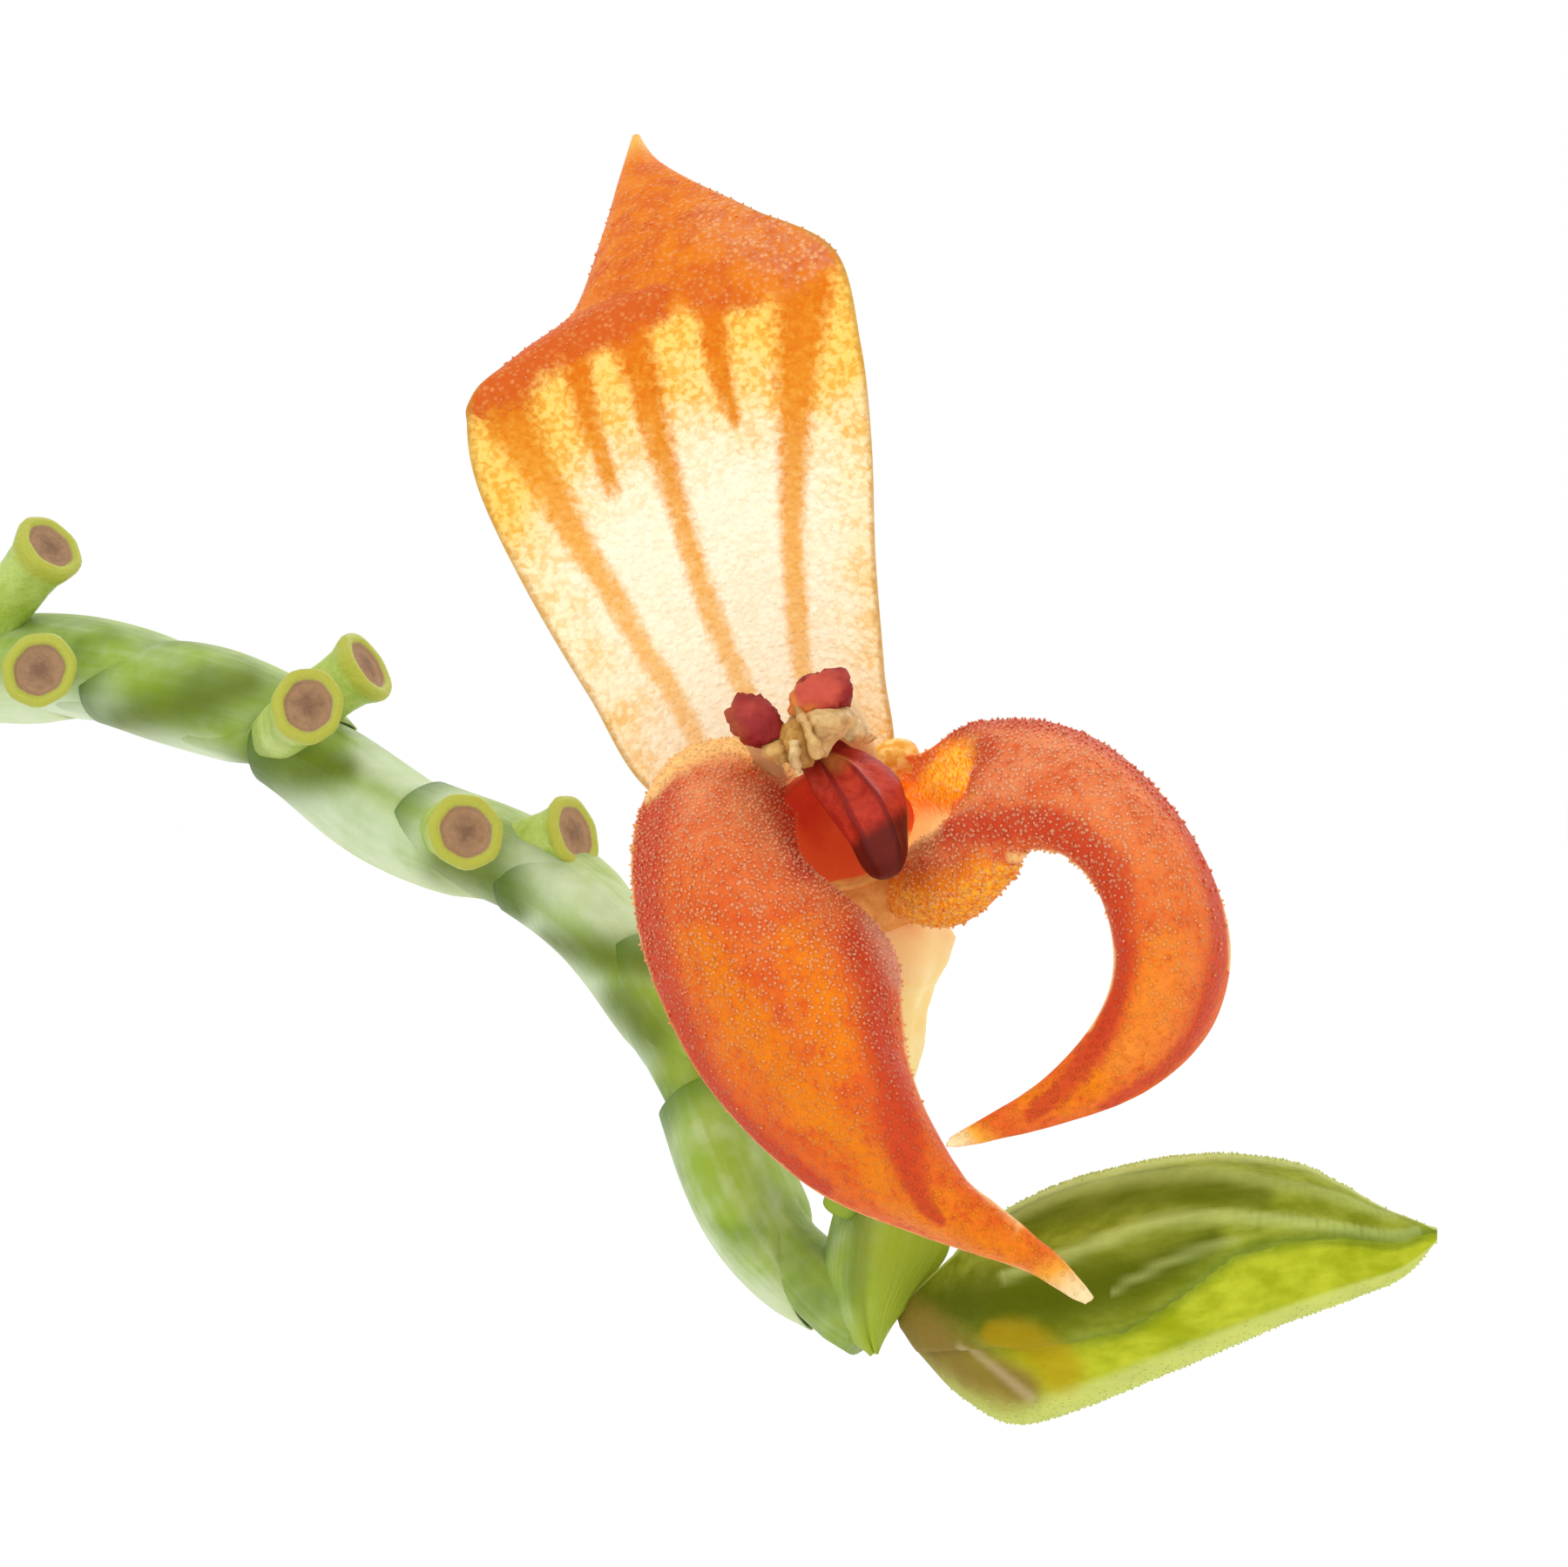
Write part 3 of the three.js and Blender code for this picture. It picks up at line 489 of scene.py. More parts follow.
VEINS = [
    [(-4.8, 6.6, 0.5), (-4.39, 5.84, 0.42), (-4.13, 5.31, 0.34), (-3.76, 4.68, 0.29), (-3.29, 3.84, 0.25),
     (-2.81, 3.1, 0.22), (-2.34, 2.26, 0.2), (-1.86, 1.52, 0.2), (-1.4, 0.6, 0.18)],
    [(-3.4, 7.0, 0.28), (-3.34, 6.57, 0.22), (-3.18, 5.94, 0.19), (-2.95, 5.31, 0.16), (-2.81, 4.78, 0.1)],
    [(-2.62, 7.6, 0.46), (-2.55, 7.31, 0.38), (-2.29, 6.57, 0.3), (-2.08, 5.74, 0.25), (-1.86, 4.99, 0.22),
     (-1.65, 4.26, 0.2), (-1.39, 3.41, 0.2), (-1.13, 2.68, 0.2), (-0.81, 1.94, 0.19), (-0.4, 1.0, 0.17)],
    [(-1.2, 7.9, 0.3), (-1.08, 6.89, 0.21), (-0.92, 6.36, 0.17), (-0.81, 6.0, 0.1)],
    [(0.36, 8.4, 0.55), (0.26, 7.31, 0.42), (0.19, 6.57, 0.34), (0.16, 5.74, 0.28), (0.14, 4.99, 0.24),
     (0.14, 4.15, 0.21), (0.19, 3.41, 0.2), (0.24, 2.68, 0.2), (0.31, 1.94, 0.18), (0.5, 0.9, 0.16)],
]
TIP_EDGE = [
    (-5.71, 5.9), (-5.08, 6.05), (-4.4, 6.3), (-3.6, 6.78), (-2.65, 7.1), (-1.65, 7.65), (-0.5, 7.73),
    (0.3, 8.1), (0.87, 8.52), (1.44, 8.9),
]
FOLD = [(-4.85, 6.35, 0.14), (-4.21, 6.71, 0.11), (-3.42, 7.14, 0.1), (-2.64, 7.52, 0.09),
        (-1.99, 7.85, 0.06)]
DOWNY = [(-0.9, 9.15, 0.45), (0.05, 8.75, 0.5), (0.65, 8.71, 0.3)]


def dorsal_marks(u, v, flat):
    below = flat[..., 1] - np.interp(flat[..., 0], *np.array(TIP_EDGE).T)
    tip = ease(-0.4, 0.4, below)
    downy = drawn(flat, DOWNY, 0.9)
    return {
        "veins": all_drawn(flat, VEINS, 0.85),
        "tip": tip,
        "run": u,
        "gold": ease(-3.6, 0.2, below),
        "fold": drawn(flat, widened(FOLD, 2.2), 0.9),
        "downy": downy,
        "papillae": tip * (0.35 + 0.65 * downy) * (1 - ease(0.85, 1, u)),
    }


def dorsal_relief(u, v, flat):
    veins = all_drawn(flat, VEINS, 0.8) * (1 - ease(0.6, 0.8, u))
    fold = drawn(flat, widened(FOLD, 2.4), 0.9)
    return -0.05 * veins + 0.16 * fold + 0.08 * rumpled(flat, 0, 0.9, 3.1) * (1 - v**4)


print("dorsal sepal with", len(VEINS), "veins")

# %% Dorsal sepal finish
DORSAL_SKIN, pen = begin("dorsal_skin")
where = pen.place()
net, fine, coarse = pen.grain(where, 8, 2, 0.55, 0.5), pen.grain(where, 17, 2), pen.grain(where, 1.8, 3)
cells = pen.beads(where, 10)
rim, gold, run = pen.mark("rim"), pen.mark("gold"), pen.mark("run")
meshes = 1 - pen.beads(where, 6.5)
warm = (gold * 0.95 + rim.step(0.35, 1.0) * 0.45 + (coarse - 0.5) * 0.6).step(0.05, 0.95)
ground = warm.tint(ink("#FCF3D6"), ink("#F9CF6A"))
mottle = (meshes * 0.7 + (net - 0.5) * 2.4 + (coarse - 0.5) * 0.8).step(0.3, 1.0) * (warm * 0.8 + 0.14)
ground = mottle.tint(ground, ink("#E9A838"))
strength = (pen.mark("veins") + (net - 0.5) * 0.6 + (fine - 0.5) * 0.25).step(0.15, 0.95)
vein_colour = (run + (net - 0.5) * 0.3).ramp(
    (0.1, ink("#F4C67C")), (0.32, ink("#ECA944")), (0.46, ink("#E28E24")), (0.6, ink("#D96F10"))
)
colour = (strength * (0.76 + run * 0.45)).tint(ground, vein_colour)
hot = (coarse + pen.mark("fold") * 0.35).step(0.35, 0.72)
tip_colour = hot.tint(ink("#E07A10"), ink("#CE5C1C"))
tip_colour = (cells * (0.3 + (net - 0.5) * 1.4 + pen.mark("downy") * 0.6)).tint(tip_colour, ink("#EFAA68"))
tip_colour = (pen.mark("downy") * (net - 0.3) * 1.2).tint(tip_colour, ink("#D3967C"))
tip_colour = run.step(0.9, 0.995).tint(tip_colour, ink("#E9B054"))
tip = (pen.mark("tip") + (coarse - 0.5) * 0.4 + (net - 0.5) * 0.7).step(0.22, 0.78)
colour = tip.tint(colour, tip_colour)
colour = (pen.mark("top").step(0.3, 1.0) * 0.7).tint(colour, ink("#F6CBA0"))
colour = ((rim + (net - 0.5) * 0.05).step(0.95, 0.998) * 0.7).tint(colour, ink("#BE8A3A"))
height = cells * 0.6 + net * 1.0 - meshes * 0.5
settle(pen, colour, 0.5 - fine * 0.2, height, 0.02, glow=0.12, Specular_IOR_Level=0.06)

# %% [markdown]
# ## Papillae
# The orange sepals are covered in tiny blunt hairs, each with a pale tip that catches the light. Bump
# in the material would leave the sepals' outline smooth. There are thousands of them, so Geometry
# Nodes scatter one small bead over the skin: points spread evenly where the painted mark allows them,
# one bead on each, standing along the normal.

# %% The papillae tree
def new_tree(name, inputs):
    """An empty tree with named inputs. Each input is its name and its socket type."""
    tree = bpy.data.node_groups.new(name, "GeometryNodeTree")
    tree.interface.new_socket(name="Geometry", in_out="INPUT", socket_type="NodeSocketGeometry")
    for label, kind in inputs:
        tree.interface.new_socket(name=label, in_out="INPUT", socket_type=kind)
    tree.interface.new_socket(name="Geometry", in_out="OUTPUT", socket_type="NodeSocketGeometry")
    return tree, Wire(tree)


def given(pen, name):
    return pen.node("NodeGroupInput", out=name)


def keep_result(made):
    """Takes the modifiers' result as the object's plain mesh."""
    graph = bpy.context.evaluated_depsgraph_get()
    result = made.evaluated_get(graph)
    mesh = bpy.data.meshes.new_from_object(result, preserve_all_data_layers=True, depsgraph=graph)
    made.modifiers.clear()
    made.data = mesh
    print(made.name, "now has", len(mesh.polygons), "faces")


def apply_tree(made, tree, values):
    """Runs the tree on an object with these inputs."""
    modifier = made.modifiers.new(tree.name, "NODES")
    modifier.node_group = tree
    for item in tree.interface.items_tree:
        if item.in_out == "INPUT" and item.name in values:
            modifier[item.identifier] = values[item.name]
    keep_result(made)


FLOAT, WHOLE, FINISH = "NodeSocketFloat", "NodeSocketInt", "NodeSocketMaterial"
inputs = [("Spacing", FLOAT), ("Smallest", FLOAT), ("Largest", FLOAT), ("Seed", WHOLE), ("Finish", FINISH)]
papillae_tree, pen = new_tree("papillae", inputs)
allowed = pen.node(
    "GeometryNodeInputNamedAttribute", {"data_type": "FLOAT"}, {"Name": "papillae"}, "Attribute"
)
spread = pen.node(
    "GeometryNodeDistributePointsOnFaces",
    {"distribute_method": "POISSON"},
    {
        "Mesh": given(pen, "Geometry"),
        "Distance Min": given(pen, "Spacing"),
        "Density Max": 1.2e8,
        "Density Factor": allowed,
        "Seed": given(pen, "Seed"),
    },
    "Points",
)
turned = Wire(pen.tree, spread.socket.node.outputs["Rotation"])
bead = pen.node("GeometryNodeMeshIcoSphere", None, {"Radius": 1.0, "Subdivisions": 1}, "Mesh")
up = pen.node("ShaderNodeSeparateXYZ", None, {0: pen.node("GeometryNodeInputPosition")}, "Z")
bead = pen.node(
    "GeometryNodeStoreNamedAttribute",
    {"data_type": "FLOAT", "domain": "POINT"},
    {"Geometry": bead, "Name": "top", "Value": up},
)
bead = pen.node("GeometryNodeTransform", None, {"Geometry": bead, "Scale": (1, 1, 1.9)})
size = pen.node(
    "FunctionNodeRandomValue",
    {"data_type": "FLOAT"},
    {2: given(pen, "Smallest"), 3: given(pen, "Largest"), 8: given(pen, "Seed")},
    1,
)
stood = pen.node(
    "GeometryNodeInstanceOnPoints",
    None,
    {"Points": spread, "Instance": bead, "Rotation": turned, "Scale": size},
)
real = pen.node("GeometryNodeRealizeInstances", None, {"Geometry": stood})
soft = pen.node("GeometryNodeSetShadeSmooth", None, {"Geometry": real})
finished = pen.node("GeometryNodeSetMaterial", None, {"Geometry": soft, "Material": given(pen, "Finish")})
both = pen.node("GeometryNodeJoinGeometry")
pen.tree.links.new(finished.socket, both.socket.node.inputs[0])
pen.tree.links.new(given(pen, "Geometry").socket, both.socket.node.inputs[0])
pen.tree.links.new(both.socket, pen.tree.nodes.new("NodeGroupOutput").inputs[0])
print("papillae tree with", len(pen.tree.nodes), "nodes")


def grow_papillae(made, spacing, smallest, largest, seed):
    """Papillae in the piece's own finish. Sizes are in millimetres."""
    sizes = {"Spacing": spacing * MM, "Smallest": smallest * MM, "Largest": largest * MM}
    apply_tree(made, papillae_tree, {**sizes, "Seed": seed, "Finish": made.data.materials[0]})


# %% Make the dorsal sepal
def dorsal_thickness(u, v):
    return mix(0.42, 0.26, np.abs(v) ** 3) * (1 - 0.3 * ease(0.85, 1, u))


sepal = blade(DORSAL, 150, 56, dorsal_thickness, dorsal_relief, dorsal_marks)
dorsal = piece("dorsal_sepal", [sepal], DORSAL_SKIN)
grow_papillae(dorsal, 0.11, 0.012, 0.024, seed=3)
belongs(dorsal, "dorsal", "dorsal_sepal")

# %% [markdown]
# ## The lateral sepals
# Two thick horns curl down like a crab's claws. The left one is a broad dome that bulges at the
# camera; the right one is a narrow gutter, with a pocket at its foot where the light glows through.
# Sculpting would make them too, but not twice alike, so both are blades between edge lines. They share
# one finish: the marks say where it is crimson, orange, golden, pale or grey.

# In the pocket the golden is painted glow of light shining through, with painted shade where it is deepest.
# %% Lateral sepal lines
LEFT = {
    "outer": [
        (0.36, -0.36, 1.8), (0.0, 0.46, 1.6), (-0.86, 0.73, 1.2), (-1.79, 0.43, 0.6), (-2.36, -0.5, 0.0),
        (-2.47, -1.71, -0.3), (-2.14, -3.21, -0.6), (-1.21, -5.0, -1.0), (0.43, -6.6, -1.6),
        (2.29, -7.4, -2.2), (3.93, -7.94, -2.6), (4.94, -8.54, -2.8),
    ],
    "middle": [
        (0.21, -0.79, 1.7), (-0.21, -0.71, 0.2), (-0.57, -0.79, -1.2), (-0.71, -1.21, -2.1),
        (-0.57, -2.0, -2.6), (-0.29, -3.0, -2.8), (0.21, -4.0, -2.9), (1.0, -5.21, -3.0),
        (2.0, -6.36, -3.0), (3.07, -7.14, -3.0), (4.14, -7.76, -2.9), (5.01, -8.47, -2.8),
    ],
    "inner": [
        (0.17, -1.17, 1.6), (0.43, -1.57, 0.6), (0.93, -1.86, -0.2), (1.47, -2.29, -0.8),
        (1.86, -2.93, -1.2), (1.93, -3.79, -1.5), (2.04, -4.64, -1.8), (2.4, -5.64, -2.1),
        (3.0, -6.64, -2.3), (3.79, -7.31, -2.6), (4.5, -7.83, -2.8), (5.08, -8.42, -2.8),
    ],
}
RIGHT = {
    "outer": [
        (1.71, 0.21, 1.4), (2.0, 0.46, 0.4), (2.64, 0.83, -0.2), (3.43, 1.0, -0.6), (4.36, 0.97, -1.0),
        (5.36, 0.54, -1.3), (6.36, -0.43, -1.5), (7.04, -1.64, -1.7), (7.29, -2.86, -1.9),
        (6.93, -4.07, -2.2), (5.93, -5.0, -2.6), (4.43, -5.58, -3.0), (2.68, -5.96, -3.3),
    ],
    "middle": [
        (1.97, -0.86, 2.0), (2.6, -0.74, -0.6), (3.14, -0.36, -1.6), (3.79, -0.07, -2.2),
        (4.64, -0.14, -2.6), (5.4, -0.6, -2.9), (5.97, -1.43, -3.1), (6.31, -2.36, -3.2),
        (6.37, -3.21, -3.2), (6.03, -4.11, -3.2), (5.21, -4.86, -3.2), (4.0, -5.42, -3.3),
        (2.66, -5.93, -3.3),
    ],
    "inner": [
        (1.5, -2.0, 1.2), (2.07, -2.26, -0.2), (2.86, -2.29, -0.8), (3.57, -1.6, -1.3),
        (3.79, -1.07, -1.8), (4.5, -1.09, -2.2), (5.09, -1.6, -2.4), (5.39, -2.4, -2.6),
        (5.39, -3.26, -2.8), (5.03, -4.03, -3.0), (4.33, -4.81, -3.1), (3.51, -5.42, -3.2),
        (2.68, -5.9, -3.3),
    ],
}
LEFT_PAINT = {
    "crimson": [
        [(-1.95, -0.2, 0.34), (-2.11, -0.86, 0.38), (-2.2, -1.86, 0.38), (-2.05, -2.86, 0.36),
         (-1.7, -3.86, 0.32), (-1.2, -4.9, 0.26), (-0.4, -5.8, 0.22), (0.7, -6.6, 0.18)],
        [(1.1, -2.7, 0.36), (1.35, -3.3, 0.34), (1.4, -3.9, 0.3), (1.5, -4.52, 0.26), (1.75, -5.41, 0.24),
         (2.04, -6.2, 0.18), (2.35, -6.7, 0.12), (2.7, -7.05, 0.06)],
        [(-0.2, -0.3, 0.35), (0.1, -0.9, 0.35), (0.2, -1.5, 0.3)],
    ],
    "orange": [
        [(-1.3, -2.6, 0.4), (-0.75, -3.6, 0.55), (-0.2, -4.5, 0.6), (0.55, -5.3, 0.55), (1.35, -6.05, 0.42),
         (2.1, -6.75, 0.42), (3.0, -7.3, 0.44), (3.8, -7.7, 0.36)],
        [(0.1, -2.6, 0.4), (0.6, -3.8, 0.42), (0.9, -4.7, 0.36)],
    ],
    "pale": [
        [(-2.2, -0.2, 0.16), (-1.75, 0.35, 0.28), (-1.2, 0.62, 0.36), (-0.72, 0.66, 0.4),
         (-0.3, 0.42, 0.34), (0.0, 0.05, 0.2)],
        [(-2.46, -0.6, 0.09), (-2.5, -1.7, 0.09), (-2.2, -3.2, 0.07), (-1.3, -5.0, 0.08),
         (0.4, -6.64, 0.09), (2.3, -7.45, 0.09), (3.9, -7.97, 0.12)],
        [(1.93, -3.4, 0.09), (2.04, -4.64, 0.09), (2.4, -5.64, 0.08), (3.0, -6.64, 0.08),
         (3.79, -7.31, 0.09)],
    ],
    "grey": [[(1.5, -2.35, 0.3), (1.78, -2.8, 0.34), (1.9, -3.2, 0.24)]],
    "light": [[(-1.7, -0.5, 0.5), (-1.2, 0.0, 0.6), (-0.5, -0.1, 0.6), (-0.1, -0.9, 0.4)]],
}
RIGHT_PAINT = {
    "crimson": [
        [(2.01, -1.29, 0.17), (2.29, -1.08, 0.2), (2.86, -0.82, 0.24), (3.58, -0.65, 0.24),
         (4.39, -0.62, 0.24), (5.05, -1.01, 0.24), (5.48, -1.54, 0.24), (5.65, -2.39, 0.24),
         (5.62, -3.11, 0.22), (5.39, -3.91, 0.2), (5.05, -4.48, 0.17), (4.6, -5.0, 0.12),
         (4.0, -5.4, 0.08)],
        [(1.94, 0.14, 0.22), (2.15, 0.55, 0.26), (2.51, 0.86, 0.28), (3.11, 1.0, 0.3), (4.05, 1.0, 0.3),
         (4.76, 0.84, 0.28), (5.44, 0.45, 0.26), (6.15, -0.26, 0.24), (6.72, -1.12, 0.22),
         (6.98, -2.3, 0.2), (6.85, -3.4, 0.18), (6.3, -4.4, 0.16), (5.2, -5.2, 0.12)],
        [(3.4, 0.45, 0.24), (3.25, 0.0, 0.2), (2.9, -0.4, 0.18), (2.4, -1.0, 0.12)],
    ],
    "orange": [
        [(6.2, -2.6, 0.3), (6.1, -3.4, 0.4), (5.72, -4.29, 0.36), (5.01, -4.86, 0.28), (4.01, -5.29, 0.18)],
        [(2.1, -1.75, 0.24), (2.8, -1.6, 0.24), (3.4, -1.2, 0.2)],
    ],
    "pale": [
        [(3.8, -1.07, 0.09), (4.5, -1.09, 0.1), (5.09, -1.6, 0.1), (5.39, -2.4, 0.09), (5.39, -3.26, 0.08),
         (5.03, -4.03, 0.08)],
        [(7.15, -1.72, 0.08), (7.3, -2.44, 0.12), (7.25, -3.01, 0.08)],
        [(1.85, -0.95, 0.42), (2.2, -0.88, 0.42), (2.58, -0.74, 0.26)],
    ],
    "light": [
        [(2.9, 0.5, 0.3), (3.6, 0.5, 0.36), (4.4, 0.35, 0.4), (5.3, -0.3, 0.42), (5.9, -1.1, 0.42),
         (6.25, -2.0, 0.4), (6.4, -3.0, 0.4), (6.1, -3.9, 0.34), (5.5, -4.6, 0.26)],
        [(1.6, -1.5, 0.2), (2.3, -1.25, 0.24), (2.95, -0.75, 0.26), (3.4, -0.15, 0.26), (3.9, 0.05, 0.3)],
    ],
    # The first gold line lies in the pocket, where the gold is painted glow of light shining through.
    "gold": [
        [(1.9, 0.1, 0.35), (2.4, 0.3, 0.45), (2.95, 0.25, 0.42), (2.7, -0.2, 0.42), (2.2, -0.45, 0.35)],
        [(1.75, -2.0, 0.24), (2.36, -2.12, 0.3), (2.94, -2.05, 0.32), (3.4, -1.7, 0.3), (3.6, -1.4, 0.24)],
    ],
}
POCKET = [(1.9, 0.0, 0.34), (2.5, 0.25, 0.5), (2.8, -0.05, 0.45), (2.3, -0.5, 0.45), (1.95, -0.95, 0.36)]
CREASE_LINE = [(1.8, -0.5, 0.09), (2.29, -0.56, 0.08), (2.81, -0.5, 0.07)]
LOBE = [(1.7, -1.85, 0.24), (2.36, -1.9, 0.34), (2.94, -1.75, 0.36), (3.44, -1.35, 0.26)]
LEFT_RIDGE = [(1.0, -2.9, 0.5), (1.35, -4.1, 0.45), (1.8, -5.4, 0.4), (2.5, -6.9, 0.25)]
LEFT_TROUGH = [(-0.6, -3.4, 0.7), (0.2, -4.9, 0.7), (1.3, -6.2, 0.45)]
RIGHT_RIDGE = [(1.5, -1.45, 0.2), (2.3, -1.2, 0.24), (2.95, -0.7, 0.24), (3.4, -0.1, 0.24)]
RIGHT_FOLD = [(3.9, -0.9, 0.3), (4.6, -0.85, 0.3), (5.2, -1.4, 0.3), (5.6, -2.4, 0.3)]


def sepal_marks(paint, end_from, pocket=None):
    """The marks of one sepal. Its tip pales from end_from on, and light comes through its pocket."""

    def marks(u, v, flat):
        lit = drawn(flat, pocket, 0.4) if pocket else 0 * u
        found = {name: all_drawn(flat, lines, 0.9) for name, lines in paint.items()}
        found["run"] = u
        found["end"] = ease(end_from, 1, u)
        found["lit"] = lit
        # deep: painted shade in the lowest part of the lit pocket.
        found["deep"] = lit * (1 - ease(-0.6, 0.1, flat[..., 1]))
        found["papillae"] = np.clip(1.1 - 1.1 * ease(0.3, 0.7, u), 0.0, 1) * (1 - lit) * ease(0.0, 0.05, u)
        if pocket:
            # crease: painted shade along the groove in the pocket.
            found["crease"] = drawn(flat, CREASE_LINE, 0.8)
        return found

    return marks


def left_relief(u, v, flat):
    wave = 0.09 * rumpled(flat, 0, 0.8, 8.0) + 0.03 * rumpled(flat, 0, 2.6, 1.0)
    ridge, trough = drawn(flat, LEFT_RIDGE, 0.9), drawn(flat, LEFT_TROUGH, 0.95)
    return (wave + 0.1 * ridge - 0.16 * trough) * (1 - v**4)


def right_relief(u, v, flat):
    pocket, lobe = drawn(flat, POCKET, 0.8), drawn(flat, LOBE, 0.8)
    ridge, crease = drawn(flat, RIGHT_RIDGE, 0.9), drawn(flat, CREASE_LINE, 0.9)
    low = 0.06 * rumpled(flat, 0, 0.8, 5.0) + 0.1 * drawn(flat, RIGHT_FOLD, 0.9)
    low = low + 0.03 * rumpled(flat, 0, 3.2, 4.0) + 0.06 * rumpled(flat, 0, 6.0, 7.0) * pocket
    return low * (1 - v**4) - 0.3 * pocket + 0.16 * lobe + 0.22 * ridge - 0.08 * crease


print("sepals painted in", ", ".join(RIGHT_PAINT))

# %% Lateral sepal finish
SEPAL_SKIN, pen = begin("sepal_skin")
where = pen.place()
net, fine, coarse = pen.grain(where, 7, 3, 0.55, 0.4), pen.grain(where, 15, 2), pen.grain(where, 2.0, 4, 0.6)
cells = pen.beads(where, 10)
run = pen.mark("run")
upper = (coarse * 0.8 + net * 0.5).step(0.42, 0.85).tint(ink("#D65A28"), ink("#E58248"))
lower = (coarse * 0.8 + net * 0.6).step(0.45, 0.9).tint(ink("#D8541A"), ink("#E87222"))
colour = run.step(0.22, 0.5).tint(upper, lower)
orange = (pen.mark("orange") + (net - 0.5) * 1.5 + (coarse - 0.5) * 1.0).step(0.3, 1.3)
colour = (orange * 0.9).tint(colour, ink("#F08A00"))
light = run.step(0.35, 0.6).tint(ink("#F5A674"), ink("#F29448"))
colour = (pen.mark("light") * (0.35 + (coarse - 0.5) * 0.8 + (net - 0.5) * 1.2)).tint(colour, light)
colour = ((net + fine * 0.5 - cells * 0.25).step(0.6, 0.95) * 0.35).tint(colour, ink("#CE441E"))
# In the pocket the gold is painted glow of light through the thin wall, with painted highlights as bright
# flecks and painted shade where it is deep.
golden = (fine * 0.8 + net * 0.8 - pen.mark("deep") * 0.25).step(0.55, 1.0)
golden = golden.tint(ink("#EC7800"), ink("#FBBC3A"))
colour = (pen.mark("gold") + (net - 0.5) * 1.0).step(0.15, 0.75).tint(colour, golden)
crimson = (pen.mark("crimson") * 1.1 + (net - 0.5) * 1.3 + (coarse - 0.5) * 0.7).step(0.15, 1.05)
colour = (crimson * 0.82).tint(colour, ink("#C2381F"))
papery = 1 - run.step(0.35, 0.8)
colour = ((cells * 1.3 - 0.3) * papery * (0.5 + (net - 0.5) * 1.2)).tint(colour, ink("#F5B088"))
colour = (pen.mark("grey") * (0.3 + net)).tint(colour, ink("#DCA088"))
# The darker orange along the pocket's crease is painted shade.
colour = (pen.mark("crease") * 0.7).tint(colour, ink("#D05A08"))
colour = (pen.mark("pale") + (net - 0.5) * 0.6).step(0.05, 0.9).tint(colour, ink("#F9C67C"))
ending = pen.mark("end") + (coarse - 0.5) * 0.25
colour = (ending.step(0.1, 0.6) * 0.85).tint(colour, ink("#F5AC38"))
colour = (ending.step(0.5, 1.0) * 0.9).tint(colour, ink("#F9E0AC"))
colour = ((pen.mark("rim") + (net - 0.5) * 0.04).step(0.955, 1.0) * 0.5).tint(colour, ink("#EDA45C"))
colour = (pen.mark("top").step(0.1, 1.0) * 0.7).tint(colour, ink("#F7C29A"))
height = cells * 0.9 + net * 0.8
lit = (pen.mark("lit") * 0.88 + 0.12).tint((0.0, 0.0, 0.0), colour)
settle(pen, colour, 0.5 - cells * 0.12, height, 0.035, glow=0.5, emit=lit, Specular_IOR_Level=0.1)

# %% Make the lateral sepals
def sepal_thickness(u, v):
    return mix(0.5, 0.3, np.abs(v) ** 3) * (1 - 0.35 * ease(0.85, 1, u))


left = blade(LEFT, 170, 60, sepal_thickness, left_relief, sepal_marks(LEFT_PAINT, 0.86))
left = piece("left_sepal", [left], SEPAL_SKIN)
right = blade(RIGHT, 190, 56, sepal_thickness, right_relief, sepal_marks(RIGHT_PAINT, 0.93, POCKET))
right = piece("right_sepal", [right], SEPAL_SKIN)
for sepal, seed in ((left, 11), (right, 12)):
    grow_papillae(sepal, 0.078, 0.016, 0.033, seed)
    belongs(sepal, "orange", "lateral_sepals")

# %% [markdown]
# ## The cup and the ovary
# Between the horns their feet join into a shallow cup, red and smooth inside, beige where its wall is
# thin. A lump under it, the chin, and a small lobe beside it close the joints. A cut through a sphere
# would give the bowl a knife edge, so its rings run up the outside, over a round rim and down inside.
# The ovary carries it from below: a ribbed yellow stalk that narrows to the spike.

# %% Cup finish and shape
CUP_SKIN, pen = begin("cup_skin")
where = pen.place()
fine, coarse = pen.grain(where, 6, 4, 0.6), pen.grain(where, 1.6)
deep = pen.mark("inside")
colour = (coarse + pen.mark("low") * 0.5).step(0.4, 1.0).tint(ink("#C43A24"), ink("#DC5A2C"))
wall = (fine * 0.7 + coarse * 0.6).step(0.4, 0.9).tint(ink("#C9823F"), ink("#E3AC5E"))
colour = (deep + (fine - 0.5) * 0.3).step(0.25, 0.75).tint(wall, colour)
golden = fine.step(0.35, 0.7).tint(ink("#DC9430"), ink("#F4CC7C"))
colour = pen.mark("gold").tint(colour, golden)
settle(pen, colour, 0.38 + fine * 0.15, fine + coarse * 0.5, 0.02, glow=0.2, Specular_IOR_Level=0.1)
RIM_AT = 0.52


